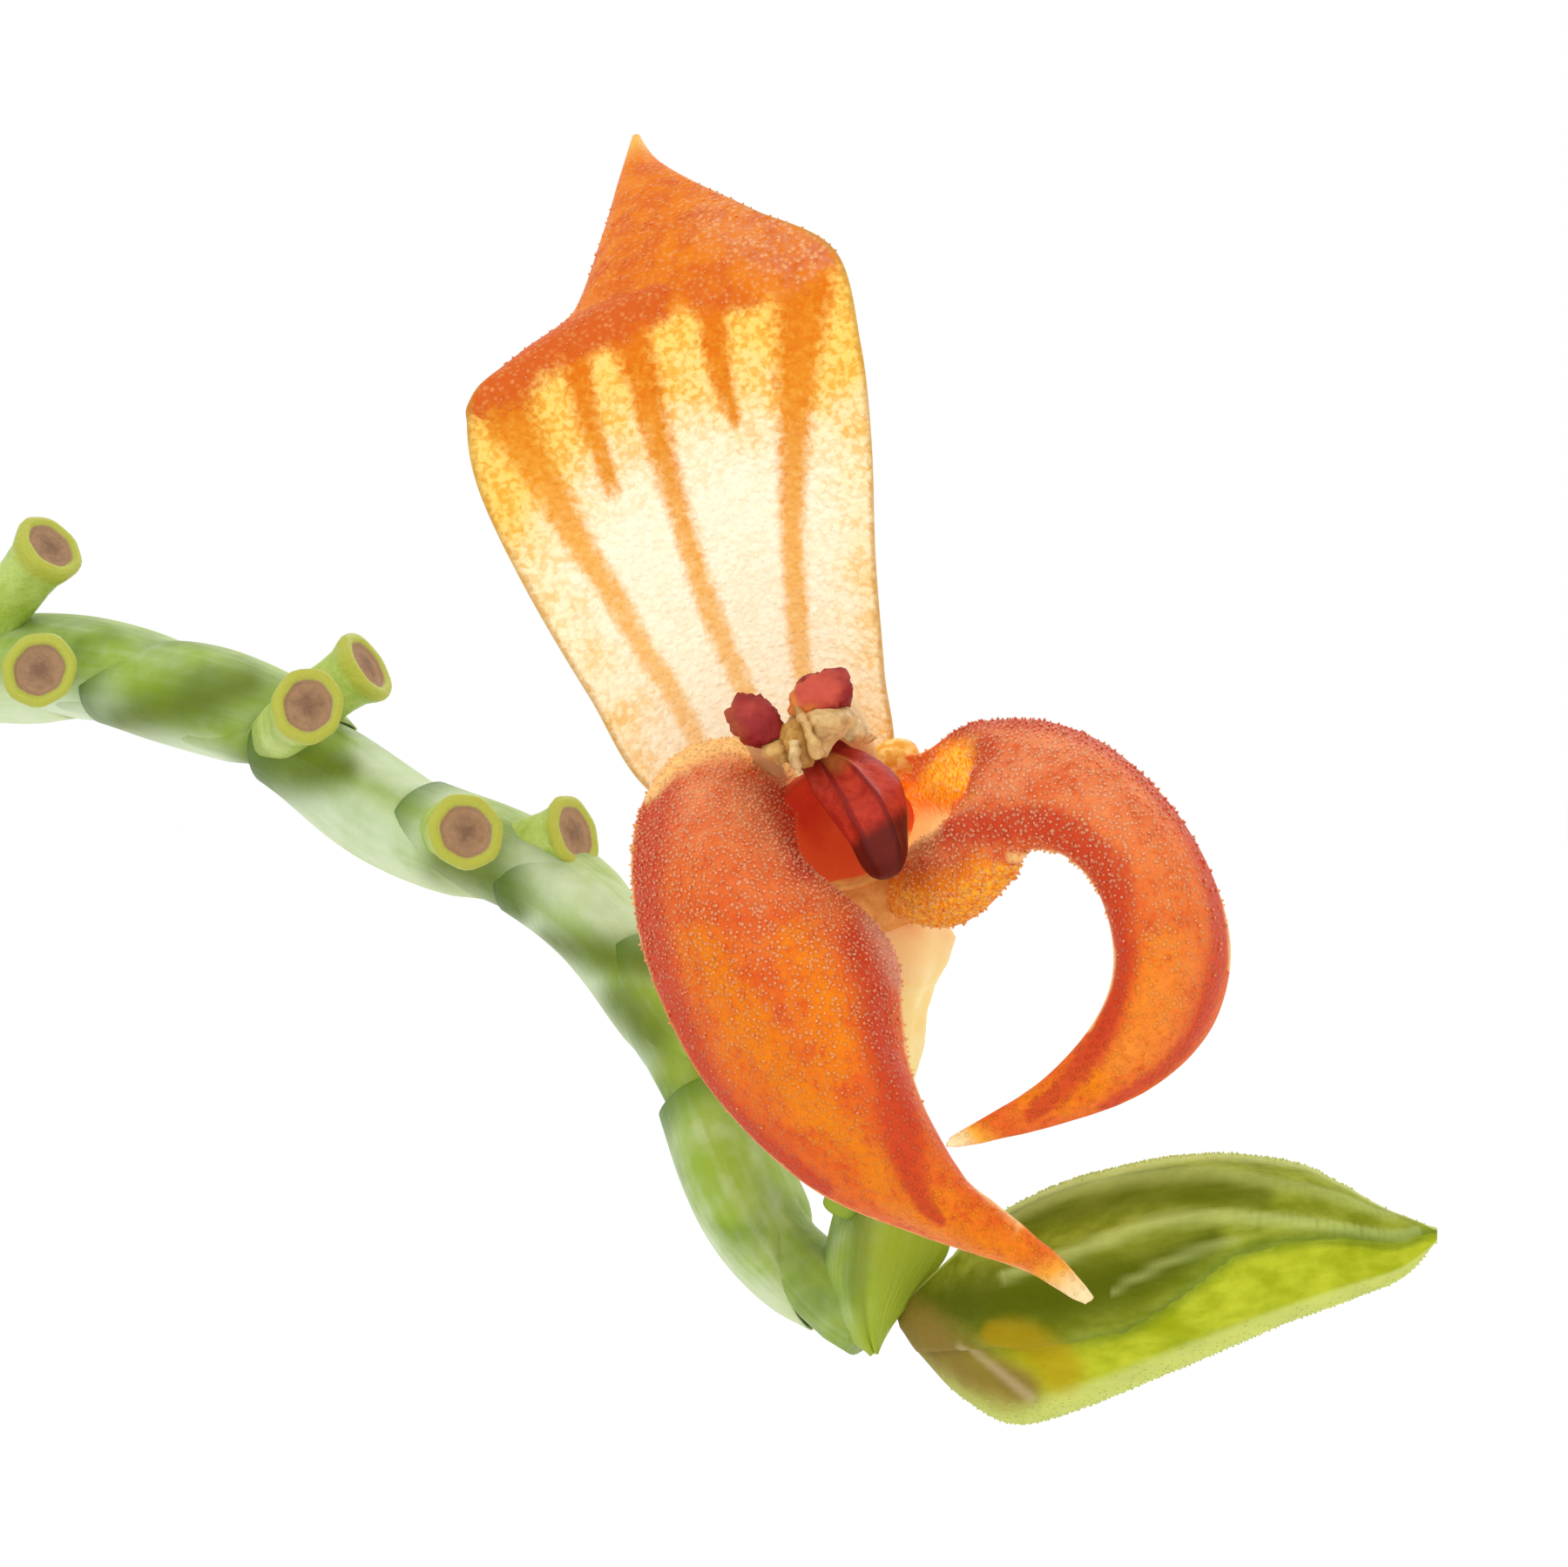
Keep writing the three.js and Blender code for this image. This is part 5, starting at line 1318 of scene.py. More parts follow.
# %% Spike finishes
def green_finish(name, dark, mid, pale, crest):
    material, pen = begin(name)
    where = pen.place()
    fine, coarse, clouds = pen.grain(where, 6, 4, 0.6), pen.grain(where, 1.5, 3), pen.grain(where, 0.45, 3)
    ribs = pen.grain(pen.uv((3, 26, 1)), 1, 2, 0.4)
    colour = (coarse * 0.5 + ribs * 0.3 + pen.mark("lower") * 0.35 + clouds * 0.5).step(0.5, 1.05)
    colour = colour.tint(ink(mid), ink(pale))
    colour = (clouds.step(0.42, 0.7) * (1 - pen.mark("lower")) * 0.7).tint(colour, ink(dark))
    colour = (pen.mark("silver") * (0.35 + coarse * 0.55)).tint(colour, ink("#D4E2C4"))
    colour = (pen.mark("dusk") * (0.6 + coarse * 0.5)).tint(colour, ink("#5E7018"))
    colour = (pen.mark("crest") * 0.6).tint(colour, ink(crest))
    # The darker foot of each bract is painted shadow at the node.
    colour = (pen.mark("foot") * (0.4 + coarse * 0.6)).tint(colour, ink(dark))
    colour = (pen.mark("mouth") * 0.5).tint(colour, ink("#CFDCA6"))
    # The inside of each bract is darkened as painted shade.
    colour = (pen.mark("inner") * 0.35).tint(colour, ink(dark))
    colour = (pen.mark("lit") * (0.6 + coarse * 0.4)).tint(colour, ink("#A2B428"))
    colour = (fine.step(0.66, 0.76) * 0.3).tint(colour, ink("#A89A5A"))
    settle(pen, colour, 0.34 + fine * 0.2, ribs * 0.6 + fine * 0.4, 0.04, glow=0.04, Specular_IOR_Level=0.12)
    return material


BRACT_GREEN = green_finish("bract_green", "#4A6A0E", "#94AE3C", "#D0DEB4", "#C2D292")
STEM_GREEN = green_finish("stem_green", "#4A6A10", "#90A83A", "#C2D29C", "#B2C67C")

STUB_GREEN, pen = begin("stub_green")
where = pen.place()
fine, coarse = pen.grain(where, 7, 4, 0.65), pen.grain(where, 1.5)
colour = (coarse + fine * 0.3).step(0.4, 0.9).tint(ink("#A2BA44"), ink("#C6D878"))
colour = (pen.mark("ring") + (fine - 0.5) * 0.3).step(0.2, 0.8).tint(colour, ink("#B8BC4A"))
scar_colour = (fine * 0.7 + pen.mark("middle") * 0.5).step(0.3, 0.9).tint(ink("#B08C6A"), ink("#80604A"))
scar = pen.mark("scar")
colour = (scar + (fine - 0.5) * 0.3).step(0.3, 0.7).tint(colour, scar_colour)
settle(pen, colour, 0.4 + scar * 0.35, fine + scar * coarse, 0.05, Specular_IOR_Level=0.2)

# %% Make the spike
backs = np.concatenate([np.arange(SPIKE_LENGTH, RACHIS, -1.5), np.arange(RACHIS, 0, -0.5), [0.02]])
at, onward, up, front = spike_at(backs)
neck = np.where(backs > RACHIS, mix(0.75, 1.0, backs / SPIKE_LENGTH), 0.62)
swell = 0.06 * np.sin(backs * 2 * math.pi / NODE_STEP) * (backs < RACHIS)
angle = circle(32)
radius = (neck + swell)[:, None] * (1 + 0.03 * np.cos(5 * angle))[None]
rings = hoops(at, up, front, radius, angle)
stem = piece("spike_stem", [skin(rings, None, spike_marks(rings))], STEM_GREEN)


def keel_relief(u, v, flat):
    return 0.05 * rumpled(flat, u, 1.6, 2.0) - 0.1 * np.exp(-((v / 0.1) ** 2))


def keel_marks(u, v, flat):
    dusk = drawn(flat, [(1.3, -7.2, 0.16), (1.2, -8.2, 0.14), (1.4, -9.1, 0.08)], 0.9)
    return {"lit": ease(1.0, 1.7, flat[..., 0] - 0.2 * (flat[..., 1] + 8)), "dusk": 0.7 * dusk}


last_bract = blade(LAST_BRACT, 60, 32, even(0.12), keel_relief, keel_marks, roll=1.6)
bracts = piece("spike_bracts", [bract(*row) for row in BRACTS] + [last_bract], BRACT_GREEN)
stubs = piece("spike_stubs", [stub(*row) for row in STUBS], STUB_GREEN)
for made in (stem, bracts, stubs):
    belongs(made, "spike", "flower_spike")

# %% [markdown]
# ## The bud
# Three sepals are still shut. From in front the upper one shows olive with fine ridges, and it laps
# over the lower one, which is brighter and has a downy margin. The base is thin and brownish, and a
# golden light comes through it. A sphere pulled into shape would not hold these edges, so the bud is a
# skin between its upper and its lower outline, and lines painted on it also push its ridges out.

# %% Bud lines
BUD_TOP = [
    (1.85, -8.75, 3.6), (2.29, -8.2, 3.4), (3.5, -7.02, 3.0), (4.71, -6.39, 3.0), (6.0, -6.07, 2.5),
    (7.14, -5.97, 2.2), (8.29, -6.14, 2.0), (9.14, -6.54, 1.8), (10.0, -7.04, 1.6), (10.71, -7.28, 1.4),
]
BUD_BOTTOM = [
    (1.9, -8.92, 3.6), (2.3, -9.42, 3.4), (2.95, -9.98, 3.0), (3.79, -10.37, 3.0), (4.79, -10.16, 2.6),
    (6.14, -9.64, 2.2), (7.86, -8.93, 2.0), (9.14, -8.46, 1.8), (10.11, -8.09, 1.6), (10.71, -7.5, 1.4),
]
SEAM = [
    (1.9, -9.35), (3.29, -9.3), (4.01, -9.29), (4.72, -9.19), (5.59, -9.02), (6.46, -8.49), (7.35, -7.79),
    (8.22, -7.54), (9.15, -7.46), (9.96, -7.54), (10.65, -7.35),
]
CREASE = [(3.6, -8.1, 0.08), (4.55, -7.79, 0.09), (5.29, -7.51, 0.1), (6.04, -7.26, 0.1),
          (6.99, -7.14, 0.1), (8.44, -7.22, 0.09), (9.96, -7.44, 0.07), (10.4, -7.36, 0.05)]
RIBS = [
    [
        (2.9, -7.7, 0.07), (4.3, -6.95, 0.08), (5.6, -6.6, 0.09), (7.0, -6.5, 0.09), (8.6, -6.75, 0.08),
        (10.0, -7.2, 0.05),
    ],
    [(5.4, -8.3, 0.05), (6.4, -7.8, 0.07), (7.4, -7.5, 0.06)],
]
BASE = [(2.0, -8.8, 0.4), (2.6, -9.3, 0.5), (3.4, -9.8, 0.45), (3.86, -10.01, 0.36)]
GLOW = [(3.44, -9.0, 0.2), (3.95, -9.15, 0.36), (4.29, -9.4, 0.36), (4.55, -9.7, 0.36)]
WHITE = [(2.88, -9.19, 0.05), (3.44, -9.65, 0.07), (4.02, -10.15, 0.09)]
LAP_SHADE = [(2.4, -8.6, 0.4), (3.6, -8.5, 0.5), (4.8, -8.35, 0.55), (6.0, -8.0, 0.4), (7.0, -7.5, 0.2)]
TOP_SHADE = [(3.4, -7.4, 0.25), (4.8, -7.0, 0.3), (6.2, -6.75, 0.3), (7.8, -6.8, 0.2)]


def bud_skin():
    t = np.linspace(0, 1, 150)
    high, low = (smooth_line(seen(rows))(t) for rows in (BUD_TOP, BUD_BOTTOM))
    tall, middle = (high - low) / 2, (high + low) / 2
    half = np.linalg.norm(tall, axis=1, keepdims=True)
    angle = circle(96)
    lobes = 1 + 0.07 * np.cos(3 * (angle - 0.5))[None]
    deep = np.array([0, -1.0, 0]) * half * 0.86
    c, s = (np.cos(angle) * lobes)[..., None], (np.sin(angle) * lobes)[..., None]
    rings = middle[:, None] + deep[:, None] * c + tall[:, None] * s
    normal = unit(rings - middle[:, None])
    flat = as_seen(rings)
    facing = ease(-0.1, 0.4, np.cos(angle))[None]
    over = above(flat, SEAM, 0.05)
    crease = drawn(flat, CREASE, 0.8)
    ribs = all_drawn(flat, RIBS, 0.8)
    groove = drawn(flat, [(x, z, 0.1) for x, z in SEAM], 0.8)
    ends = ease(0, 0.1, t)[:, None] * (1 - ease(0.9, 1, t))[:, None]
    relief = (0.17 * (over - 0.5) + 0.11 * crease + 0.07 * ribs) * facing * ends
    relief = relief + 0.03 * bumpy(rings, 1.2, 4.0) * ends - 0.05 * groove * facing
    rings = rings + normal * relief[..., None]
    shade = np.maximum(drawn(flat, LAP_SHADE, 0.9), drawn(flat, TOP_SHADE, 0.9) * 0.8)
    edge = np.abs(np.sin(angle))
    marks = {
        "over": over * facing + (1 - facing) * above(flat, [(0, -8.6), (11, -7.2)], 0.3),
        "crease": np.maximum(crease, ribs * 0.6) * facing,
        "base": drawn(flat, BASE, 0.9),
        "glow": drawn(flat, GLOW, 0.9) * facing,
        "white": drawn(flat, WHITE, 0.8) * facing,
        "edge": ease(0.72, 0.97, edge)[None] + 0 * t[:, None],
        # seam: painted shade where the upper sepal laps over the lower one.
        "seam": drawn(flat, [(x, z, 0.12) for x, z in SEAM], 0.8) * facing,
        "shade": shade * facing,
        "papillae": ease(0.86, 0.99, edge)[None] * ease(0.12, 0.4, t)[:, None],
    }
    return skin(rings, None, marks)


print("bud", round(BUD_TOP[-1][0] - BUD_TOP[0][0], 1), "mm long")

# %% Bud finish
BUD_GREEN, pen = begin("bud_green")
where = pen.place()
fine, coarse = pen.grain(where, 7, 4, 0.65), pen.grain(where, 1.3, 3)
streaks = pen.grain(pen.place((0.35, 1, 1)), 3.2, 4, 0.6)
upper = (streaks * 0.8 + coarse * 0.4).step(0.4, 0.85).tint(ink("#7A8410"), ink("#A4AE3C"))
upper = (pen.mark("shade") * 0.92).tint(upper, ink("#525E00"))
lower = (coarse * 0.7 + streaks * 0.5).step(0.4, 0.85).tint(ink("#9AA408"), ink("#C6CE34"))
colour = (pen.mark("over") + (fine - 0.5) * 0.2).step(0.3, 0.7).tint(lower, upper)
colour = (pen.mark("crease") * 0.75).tint(colour, ink("#C0CC74"))
# The dark line along the seam is painted shade under the lapping upper sepal.
colour = (pen.mark("seam") * 0.5).tint(colour, ink("#5C7420"))
colour = ((pen.mark("edge") + (fine - 0.5) * 0.3).step(0.3, 0.9) * 0.65).tint(colour, ink("#D0D87C"))
colour = (pen.mark("base") + (coarse - 0.5) * 0.8).step(0.15, 1.1).tint(colour, ink("#8E7632"))
colour = ((pen.mark("glow") + (coarse - 0.5) * 0.6).step(0.1, 1.0) * 0.65).tint(colour, ink("#B8940A"))
colour = (pen.mark("white") * 0.5).tint(colour, ink("#CDB88C"))
colour = (pen.mark("top").step(0.0, 1.0) * 0.7).tint(colour, ink("#DCE4A4"))
settle(pen, colour, 0.42 + fine * 0.2, streaks + fine * 0.6, 0.05, glow=0.02, Specular_IOR_Level=0.06)
bud = piece("flower_bud", [bud_skin()], BUD_GREEN)
grow_papillae(bud, 0.07, 0.012, 0.022, seed=5)
belongs(bud, "bud", "flower_bud")

# %% [markdown]
# ## The leaves
# Each shoot is one thick leaf on a short stem. The leaf is channelled along its midrib, widest past
# its middle, and notched at its tip. Papery brown sheaths wrap the stem, torn along their tops. One
# modelled leaf could be copied ten times, but its copies would show. Here each leaf is drawn from its
# shoot's own length, width and bend, as the solids are.

# %% Leaf shapes
SOLID_STEPS = 13


def leaf_width(t):
    """Share of the full width at t along the leaf."""
    s = np.clip((t - 0.1) / 0.9, 0, 1)
    return np.maximum(0.17 * (1 - t**2), s**1.25 * (1 - s) ** 0.5 / 0.4846)


def leaf(shoot, seed):
    """The blade of a leaf. Its middle line leans out in as many straight steps as the solid's."""
    steps, wide = 90, 24
    out = np.array([math.cos(shoot["angle"]), math.sin(shoot["angle"]), 0])
    side = np.array([-out[1], out[0], 0])
    t = np.linspace(0, 1, steps + 1)

    def leaning(t):
        return np.radians(mix(shoot["lean"] * 0.3, shoot["lean"] + shoot["bend"], t**1.3))

    lean = leaning(np.linspace(0, 1, SOLID_STEPS + 1))
    walk = np.stack([np.sin(lean), np.cos(lean)], 1) * shoot["leaf"] / SOLID_STEPS
    line = smooth_line(np.vstack([[0, 0], np.cumsum(walk, axis=0)[:-1]]))(t)
    tilt = leaning(t)
    start = np.array([shoot["x"], shoot["y"], bark_height(shoot["x"], shoot["y"]) + shoot["stem"] - 3])
    place = start + line[:, :1] * out + line[:, 1:] * UPWARDS
    upper = -out * np.cos(tilt)[:, None] + UPWARDS * np.sin(tilt)[:, None]
    half = np.maximum(shoot["width"] / 2 * leaf_width(t), mix(0.7, 0.25, ease(0.97, 1, t)))
    thick = 1.5 * mix(1.6, 1, np.minimum(4 * t, 1))
    thick = np.minimum(thick, 2 * half) * mix(1, 0.6, ease(0.9, 1, t))
    v = np.sin(np.linspace(-math.pi / 2, math.pi / 2, wide + 1))[None]
    lift = 0.2 * half[:, None] * v**2
    ripple = 0.25 * np.sin(9 * t + seed)[:, None] * v**3 * ease(0.1, 0.4, t)[:, None]
    groove = -0.32 * np.exp(-((v / 0.07) ** 2)) * ease(0.05, 0.2, t)[:, None]
    keel = 0.42 * np.exp(-((v / 0.1) ** 2)) * (1 - ease(0.3, 1, t))[:, None]
    deep = thick[:, None] / 2 * np.sqrt(np.clip(1 - v**2, 0, 1)) ** 0.7
    notch = -1.3 * np.exp(-((v / 0.3) ** 2)) * ease(0.93, 1, t)[:, None]
    forward = out * np.sin(tilt)[:, None] + UPWARDS * np.cos(tilt)[:, None]
    base = place[:, None] + side * (half[:, None] * v)[..., None] + forward[:, None] * notch[..., None]
    top = base + upper[:, None] * (lift + ripple + deep + groove)[..., None]
    under = base + upper[:, None] * (lift + ripple - deep - keel)[..., None]
    rings = np.concatenate([top, under[:, -2:0:-1]], 1)
    across = np.broadcast_to((v + 1) / 2, (steps + 1, wide + 1))
    both = np.concatenate([across, across[:, -2::-1]], 1)
    uv = np.stack([np.broadcast_to(t[:, None], both.shape), both], -1)
    upside = np.concatenate([across * 0 + 1, across[:, -2:0:-1] * 0], 1)
    from_middle = np.abs(2 * np.concatenate([across, across[:, -2:0:-1]], 1) - 1)
    shade = np.full(upside.shape, seed % 1.0)
    return skin(rings, uv, {"upside": upside, "across": from_middle, "shade": shade})


def stem_and_sheaths(shoot, seed):
    """The green stem and three papery sheaths, each a thin open tube with a slanted, torn top."""
    ground = bark_height(shoot["x"], shoot["y"])
    top = ground + shoot["stem"]
    centre = np.array([shoot["x"], shoot["y"]])

    def tube(low, high, radii, tear, wall):
        t, inside = np.linspace(0, 1, 22), np.zeros(22)
        if wall:
            t = np.concatenate([t, np.linspace(0.99, 0.3, 8)])
            inside = np.concatenate([inside, np.ones(8)])
        angle = circle(28)
        radius = np.interp(t, np.linspace(0, 1, len(radii)), radii)[:, None] - wall * inside[:, None]
        radius = radius * (1 + 0.025 * np.cos(8 * angle + seed))[None]
        torn = np.cos(angle - seed * 2.4) + 0.4 * np.sin(5 * angle + seed)
        z = mix(low, high, t)[:, None] + tear * torn[None] * ease(0.5, 1, t)[:, None]
        rings = np.stack([centre[0] + radius * np.cos(angle), centre[1] + radius * np.sin(angle), z], -1)
        return skin(rings)

    post = tube(ground - 7, top, [1.4, 1.5, 1.55, 1.45, 1.5, 1.6, 1.3], 0, 0)
    middle = mix(ground, top, 0.5)
    sheaths = [
        tube(ground - 5, ground + 5, [1.62, 1.72, 1.8, 1.95], 1.3, 0.1),
        tube(ground + 3, middle + 2, [1.6, 1.64, 1.7, 1.9], 1.6, 0.09),
        tube(middle, top - 4, [1.6, 1.62, 1.68, 1.95], 2.0, 0.09),
    ]
    return post, sheaths


print("leaves", [round(shoot["leaf"] + shoot["stem"]) for shoot in SHOOTS], "mm long with their stems")

# %% Leaf and sheath finishes
LEAF_GREEN, pen = begin("leaf_green")
where = pen.place()
fine, coarse = pen.grain(where, 1.6, 4, 0.6), pen.grain(where, 0.25, 4, 0.55)
clouds = pen.grain(where, 0.07, 3)
veins = pen.grain(pen.uv((3, 60, 1)), 1, 2, 0.4)
colour = (coarse * 0.6 + clouds * 0.5 + pen.mark("shade") * 0.25).step(0.35, 0.95)
colour = colour.tint(ink("#2F6B28"), ink("#5C9A3E"))
colour = (veins.step(0.4, 0.75) * 0.35).tint(colour, ink("#6FAA4C"))
colour = ((1 - pen.mark("across").step(0.0, 0.14)) * 0.55).tint(colour, ink("#86B860"))
colour = (pen.mark("across").step(0.93, 1.0) * 0.5).tint(colour, ink("#7A8A3A"))
colour = ((1 - pen.mark("upside")) * 0.45).tint(colour, ink("#86A866"))
colour = (fine.step(0.68, 0.78) * 0.3).tint(colour, ink("#3B5A22"))
settle(
    pen, colour, 0.3 + coarse * 0.18, veins + fine * 0.5, 0.12,
    Specular_IOR_Level=0.5, Coat_Weight=0.15, Coat_Roughness=0.35,
)

SHEATH_PAPER, pen = begin("sheath_paper")
fibres, fine = pen.grain(pen.uv((2, 40, 1)), 1, 4, 0.6), pen.grain(pen.place(), 2.2, 4)
colour = (fibres * 0.8 + fine * 0.3).step(0.3, 0.8).tint(ink("#A88A5C"), ink("#E4D6B0"))
colour = (fine.step(0.62, 0.75) * 0.4).tint(colour, ink("#7A5A36"))
settle(pen, colour, 0.6 + fine * 0.2, fibres + fine * 0.4, 0.1, Specular_IOR_Level=0.3)

# %% Make the leaves
for i, shoot in enumerate(SHOOTS):
    post, sheaths = stem_and_sheaths(shoot, i * 1.7)
    made = piece(f"leaf_{i + 1:02d}", [leaf(shoot, i * 0.618), post], LEAF_GREEN)
    wrap = piece(f"sheaths_{i + 1:02d}", sheaths, SHEATH_PAPER)
    for part in (made, wrap):
        belongs(part, "leaf", f"leaf_shoot_{i + 1:02d}")

# %% [markdown]
# ## Bark
# The pot holds chips of fir bark. Dropping chips in a physics run would heap them truly, but far more
# of them than anyone sees. Geometry Nodes instead lay one rough chip on points over the fill, turn
# each at random, and let noise break its faces, so that no two are alike.

# %% The bark tree
bark_tree, pen = new_tree(
    "bark_chips", [("Spacing", FLOAT), ("Roughness", FLOAT), ("Seed", WHOLE), ("Finish", FINISH)]
)
spread = pen.node(
    "GeometryNodeDistributePointsOnFaces",
    {"distribute_method": "POISSON"},
    {
        "Mesh": given(pen, "Geometry"),
        "Distance Min": given(pen, "Spacing"),
        "Density Max": 2e5,
        "Seed": given(pen, "Seed"),
    },
    "Points",
)
chip = pen.node(
    "GeometryNodeMeshCube",
    None,
    {"Size": (0.0125, 0.0085, 0.0046), "Vertices X": 6, "Vertices Y": 5, "Vertices Z": 3},
    "Mesh",
)
spin = pen.node(
    "FunctionNodeRandomValue",
    {"data_type": "FLOAT_VECTOR"},
    {0: (-0.7, -0.7, 0.0), 1: (0.7, 0.7, 6.28), 8: given(pen, "Seed")},
    0,
)
size = pen.node(
    "FunctionNodeRandomValue",
    {"data_type": "FLOAT_VECTOR"},
    {0: (0.5, 0.5, 0.6), 1: (1.1, 1.1, 1.2), 8: 4},
    0,
)
laid = pen.node(
    "GeometryNodeInstanceOnPoints",
    None,
    {"Points": spread, "Instance": chip, "Rotation": spin, "Scale": size},
)
real = pen.node("GeometryNodeRealizeInstances", None, {"Geometry": laid})
rough = pen.node("ShaderNodeTexNoise", None, {"Scale": 260.0, "Detail": 3.0}, "Color")
centred = pen.node("ShaderNodeVectorMath", {"operation": "SUBTRACT"}, {0: rough, 1: (0.5, 0.5, 0.5)})
roughness = given(pen, "Roughness")
shift = pen.node("ShaderNodeVectorMath", {"operation": "SCALE"}, {0: centred, "Scale": roughness})
broken = pen.node("GeometryNodeSetPosition", None, {"Geometry": real, "Offset": shift})
finished = pen.node("GeometryNodeSetMaterial", None, {"Geometry": broken, "Material": given(pen, "Finish")})
pen.tree.links.new(finished.socket, pen.tree.nodes.new("NodeGroupOutput").inputs[0])
print("bark tree with", len(pen.tree.nodes), "nodes")

# %% Bark finish and fill
BARK_BROWN, pen = begin("bark_brown")
where = pen.place()
fine, coarse = pen.grain(where, 1.8, 5, 0.65), pen.grain(where, 0.35, 4, 0.6, 0.8)
clouds = pen.grain(where, 0.09, 2)
layers = pen.grain(pen.place((1, 1, 4)), 0.8, 4, 0.6)
colour = (coarse * 0.6 + layers * 0.5).step(0.35, 0.8).tint(ink("#573621"), ink("#A87648"))
colour = (clouds.step(0.48, 0.62) * 0.55).tint(colour, ink("#6E4630"))
colour = (fine.step(0.6, 0.72) * 0.4).tint(colour, ink("#B58A5E"))
settle(pen, colour, 0.75 + fine * 0.15, layers + fine * 0.6, 0.5, Specular_IOR_Level=0.25)


def pot_inside(z):
    """The inner radius of the pot at a height."""
    return mix(30, 40.5, z / 60) - 3


def fill_top(height, radii):
    """Rows of radius and height over the domed top of the fill."""
    return [(r, height + BARK_DOME * (1 - (r / POT_RADIUS) ** 2)) for r in radii]


def spun(outline, around):
    """Rows of radius and height spun round the pot's axis into rings."""
    angles = circle(around)
    return np.array([[(r * math.cos(a), r * math.sin(a), z) for a in angles] for r, z in outline])


ROOM = pot_inside(BARK_SIDE) - 0.3
outline = [(0.4, 6.3), (pot_inside(6) - 2.3, 6.3), (pot_inside(8) - 0.3, 8.3), (ROOM - 0.4, 65.5)]
rings = spun(outline + fill_top(65.2, np.linspace(ROOM - 1, 0.4, 24)), 64)
lumps = 0.8 * bumpy(rings, 0.25, 2.0)[..., None] * UPWARDS * (rings[..., 2:] > 64)
fill = piece("bark_fill", [skin(rings + lumps)], BARK_BROWN)
belongs(fill, "bark", "bark_mix")

# %% Bark chips
top = spun(fill_top(65.6, np.linspace(33.5, 0.5, 12)), 64)
lid = np.concatenate([top, top[::-1] - np.array([0, 0, 0.3])])
chips = piece("bark_chips", [skin(lid)], BARK_BROWN)
apply_tree(chips, bark_tree, {"Spacing": 4.0 * MM, "Roughness": 1.9 * MM, "Seed": 8, "Finish": BARK_BROWN})
# Chips that reach past the clay or the rim are pushed back inside.
spots = np.empty(len(chips.data.vertices) * 3)
chips.data.vertices.foreach_get("co", spots)
spots = spots.reshape(-1, 3) / MM
far = np.hypot(spots[:, 0], spots[:, 1])
limit = pot_inside(np.minimum(spots[:, 2], 70)) - 0.5
spots[:, :2] *= np.minimum(1, limit / far)[:, None]
spots[:, 2] = np.minimum(spots[:, 2], 73)
chips.data.vertices.foreach_set("co", (spots * MM).ravel())
chips.data.update()
belongs(chips, "bark", "bark_mix")

# %% [markdown]
# ## The pot
# A plain clay pot turned on a wheel: a foot, a tapered wall and a heavier rim. A Screw modifier would
# turn its outline too; spinning the points here lets the clay wobble a little and keeps the marks. The
# drain holes are cut with a Boolean, and the material carries the turning lines, white lime that water
# leaves, and rubbed edges.

# %% Pot finish
CLAY_RED, pen = begin("clay_red")
where = pen.place()
fine, coarse, clouds = pen.grain(where, 2.2, 5, 0.6), pen.grain(where, 0.3, 4), pen.grain(where, 0.05, 3)
turning = pen.grain(pen.place((0.02, 0.02, 1)), 1.4, 3)
up = pen.mark("height")
colour = (coarse * 0.5 + clouds * 0.6).step(0.35, 0.8).tint(ink("#A9582F"), ink("#C97B4E"))
colour = (turning.step(0.45, 0.75) * 0.25).tint(colour, ink("#D69468"))
lime = (clouds * 0.9 + coarse * 0.4 + up.step(0.55, 1.0) * 0.12).step(0.72, 0.98)
colour = (lime * 0.6).tint(colour, ink("#E2C9B4"))
damp = ((1 - up.step(0.0, 0.35)) * 0.5 + coarse * 0.4).step(0.4, 0.9)
colour = (damp * 0.5).tint(colour, ink("#8A4426"))
colour = (fine.step(0.64, 0.74) * 0.4).tint(colour, ink("#7A3E24"))
colour = (pen.mark("worn") * (0.3 + coarse * 0.6)).tint(colour, ink("#DDA27C"))
height = turning * 0.7 + fine * 0.5 + coarse * 0.3
settle(pen, colour, 0.78 + coarse * 0.15, height, 0.35, Specular_IOR_Level=0.2)

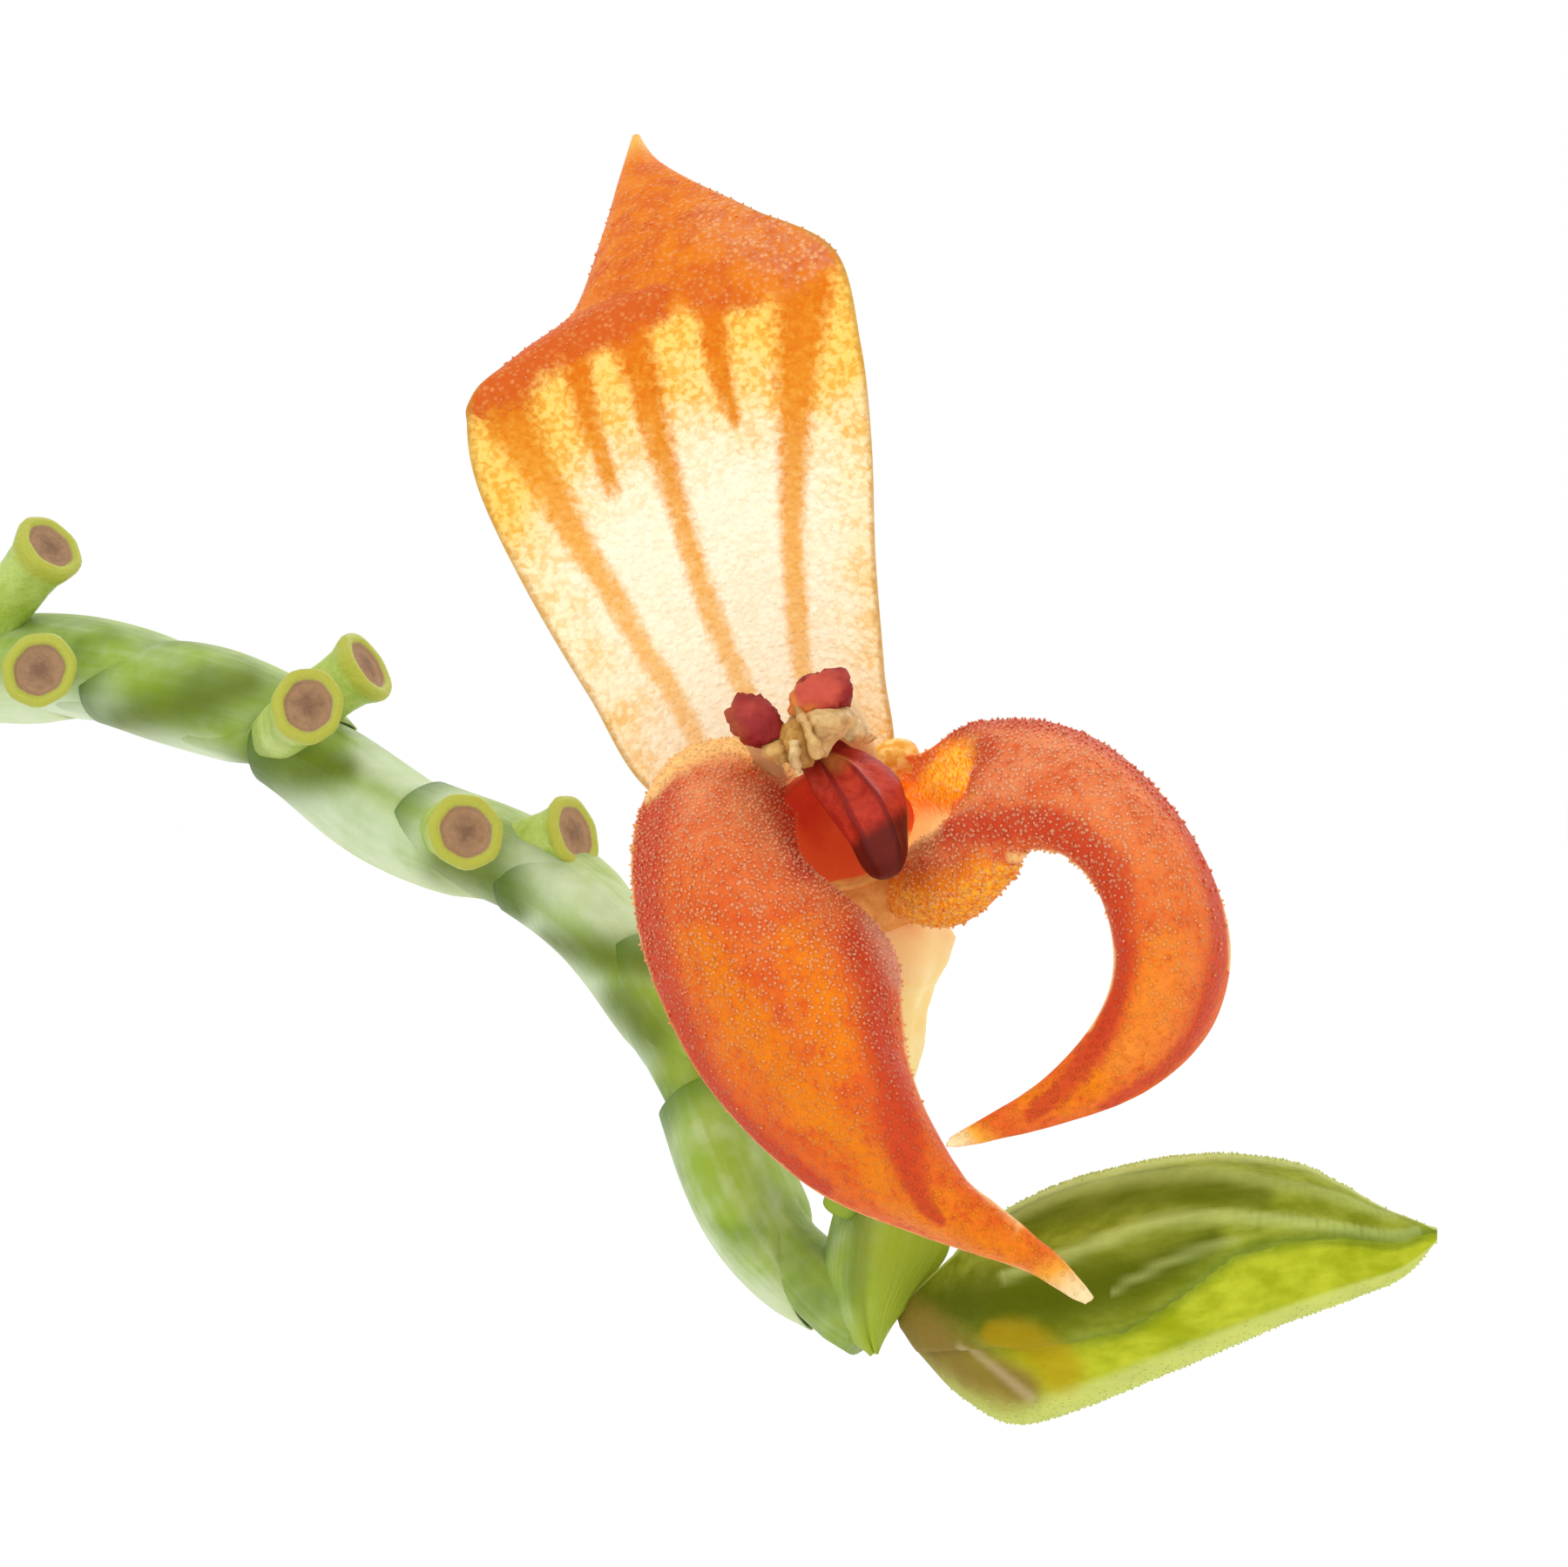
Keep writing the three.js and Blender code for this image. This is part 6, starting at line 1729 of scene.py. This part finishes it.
# %% Turn the pot and cut its holes
POT_OUTLINE = [
    (0.3, 0), (27.8, 0), (28.9, 0.25), (29.7, 0.9), (30.05, 1.8), (40.3, 58.8), (40.7, 59.7),
    (41.4, 60.4), (43.1, 60.8), (43.8, 61.4), (44.15, 62.6), (45.35, 75.4), (45.3, 76.6), (44.9, 77.5),
    (44.1, 77.95), (43.2, 78), (42.2, 77.9), (41.3, 77.4), (40.7, 76.6), (40.4, 75.4), (28.4, 8.2),
    (27.9, 7.0), (26.8, 6.2), (25.5, 6), (0.3, 6),
]
closer = []
for (r0, z0), (r1, z1) in zip(POT_OUTLINE, POT_OUTLINE[1:]):
    parts = max(1, int(math.hypot(r1 - r0, z1 - z0) / 2.5))
    closer += [(mix(r0, r1, k / parts), mix(z0, z1, k / parts)) for k in range(parts)]
rings = spun(closer + [POT_OUTLINE[-1]], 128)
wobble = 0.06 * bumpy(rings, 0.12, 7.0)[..., None] * unit(rings + 1e-6) * (rings[..., 2:] > 1)
high = rings[..., 2]
rim_foot = ease(60.2, 61.2, high) * (1 - ease(61.4, 63, high))
marks = {"height": high / 78, "worn": ease(76.2, 77.9, high) + rim_foot * 0.6}
pot = piece("clay_pot", [skin(rings + wobble, None, marks)], CLAY_RED)
bits = []
for i in range(4):
    a = (i + 0.5) * math.pi / 2
    path = np.array([16 * math.cos(a), 16 * math.sin(a), 0]) + np.linspace(-4, 10, 8)[:, None] * UPWARDS
    bits.append(rod(path, [4.0, 4.0], 40, hint=(1, 0, 0)))
cutter = piece("drain_cutter", bits, CLAY_RED)
cut = pot.modifiers.new("drain_holes", "BOOLEAN")
cut.operation, cut.solver, cut.object = "DIFFERENCE", "EXACT", cutter
keep_result(pot)
PIECES.remove(cutter)
bpy.data.objects.remove(cutter)
belongs(pot, "clay", "pot")

# %% [markdown]
# ## Measure and finish
# The dressed plant must stay the size of the solids. The last line counts the pieces and their triangles.

# %% Measure and finish
triangles = sum(len(p.vertices) - 2 for made in PIECES for p in made.data.polygons)
print("pieces", len(PIECES), "triangles", triangles)
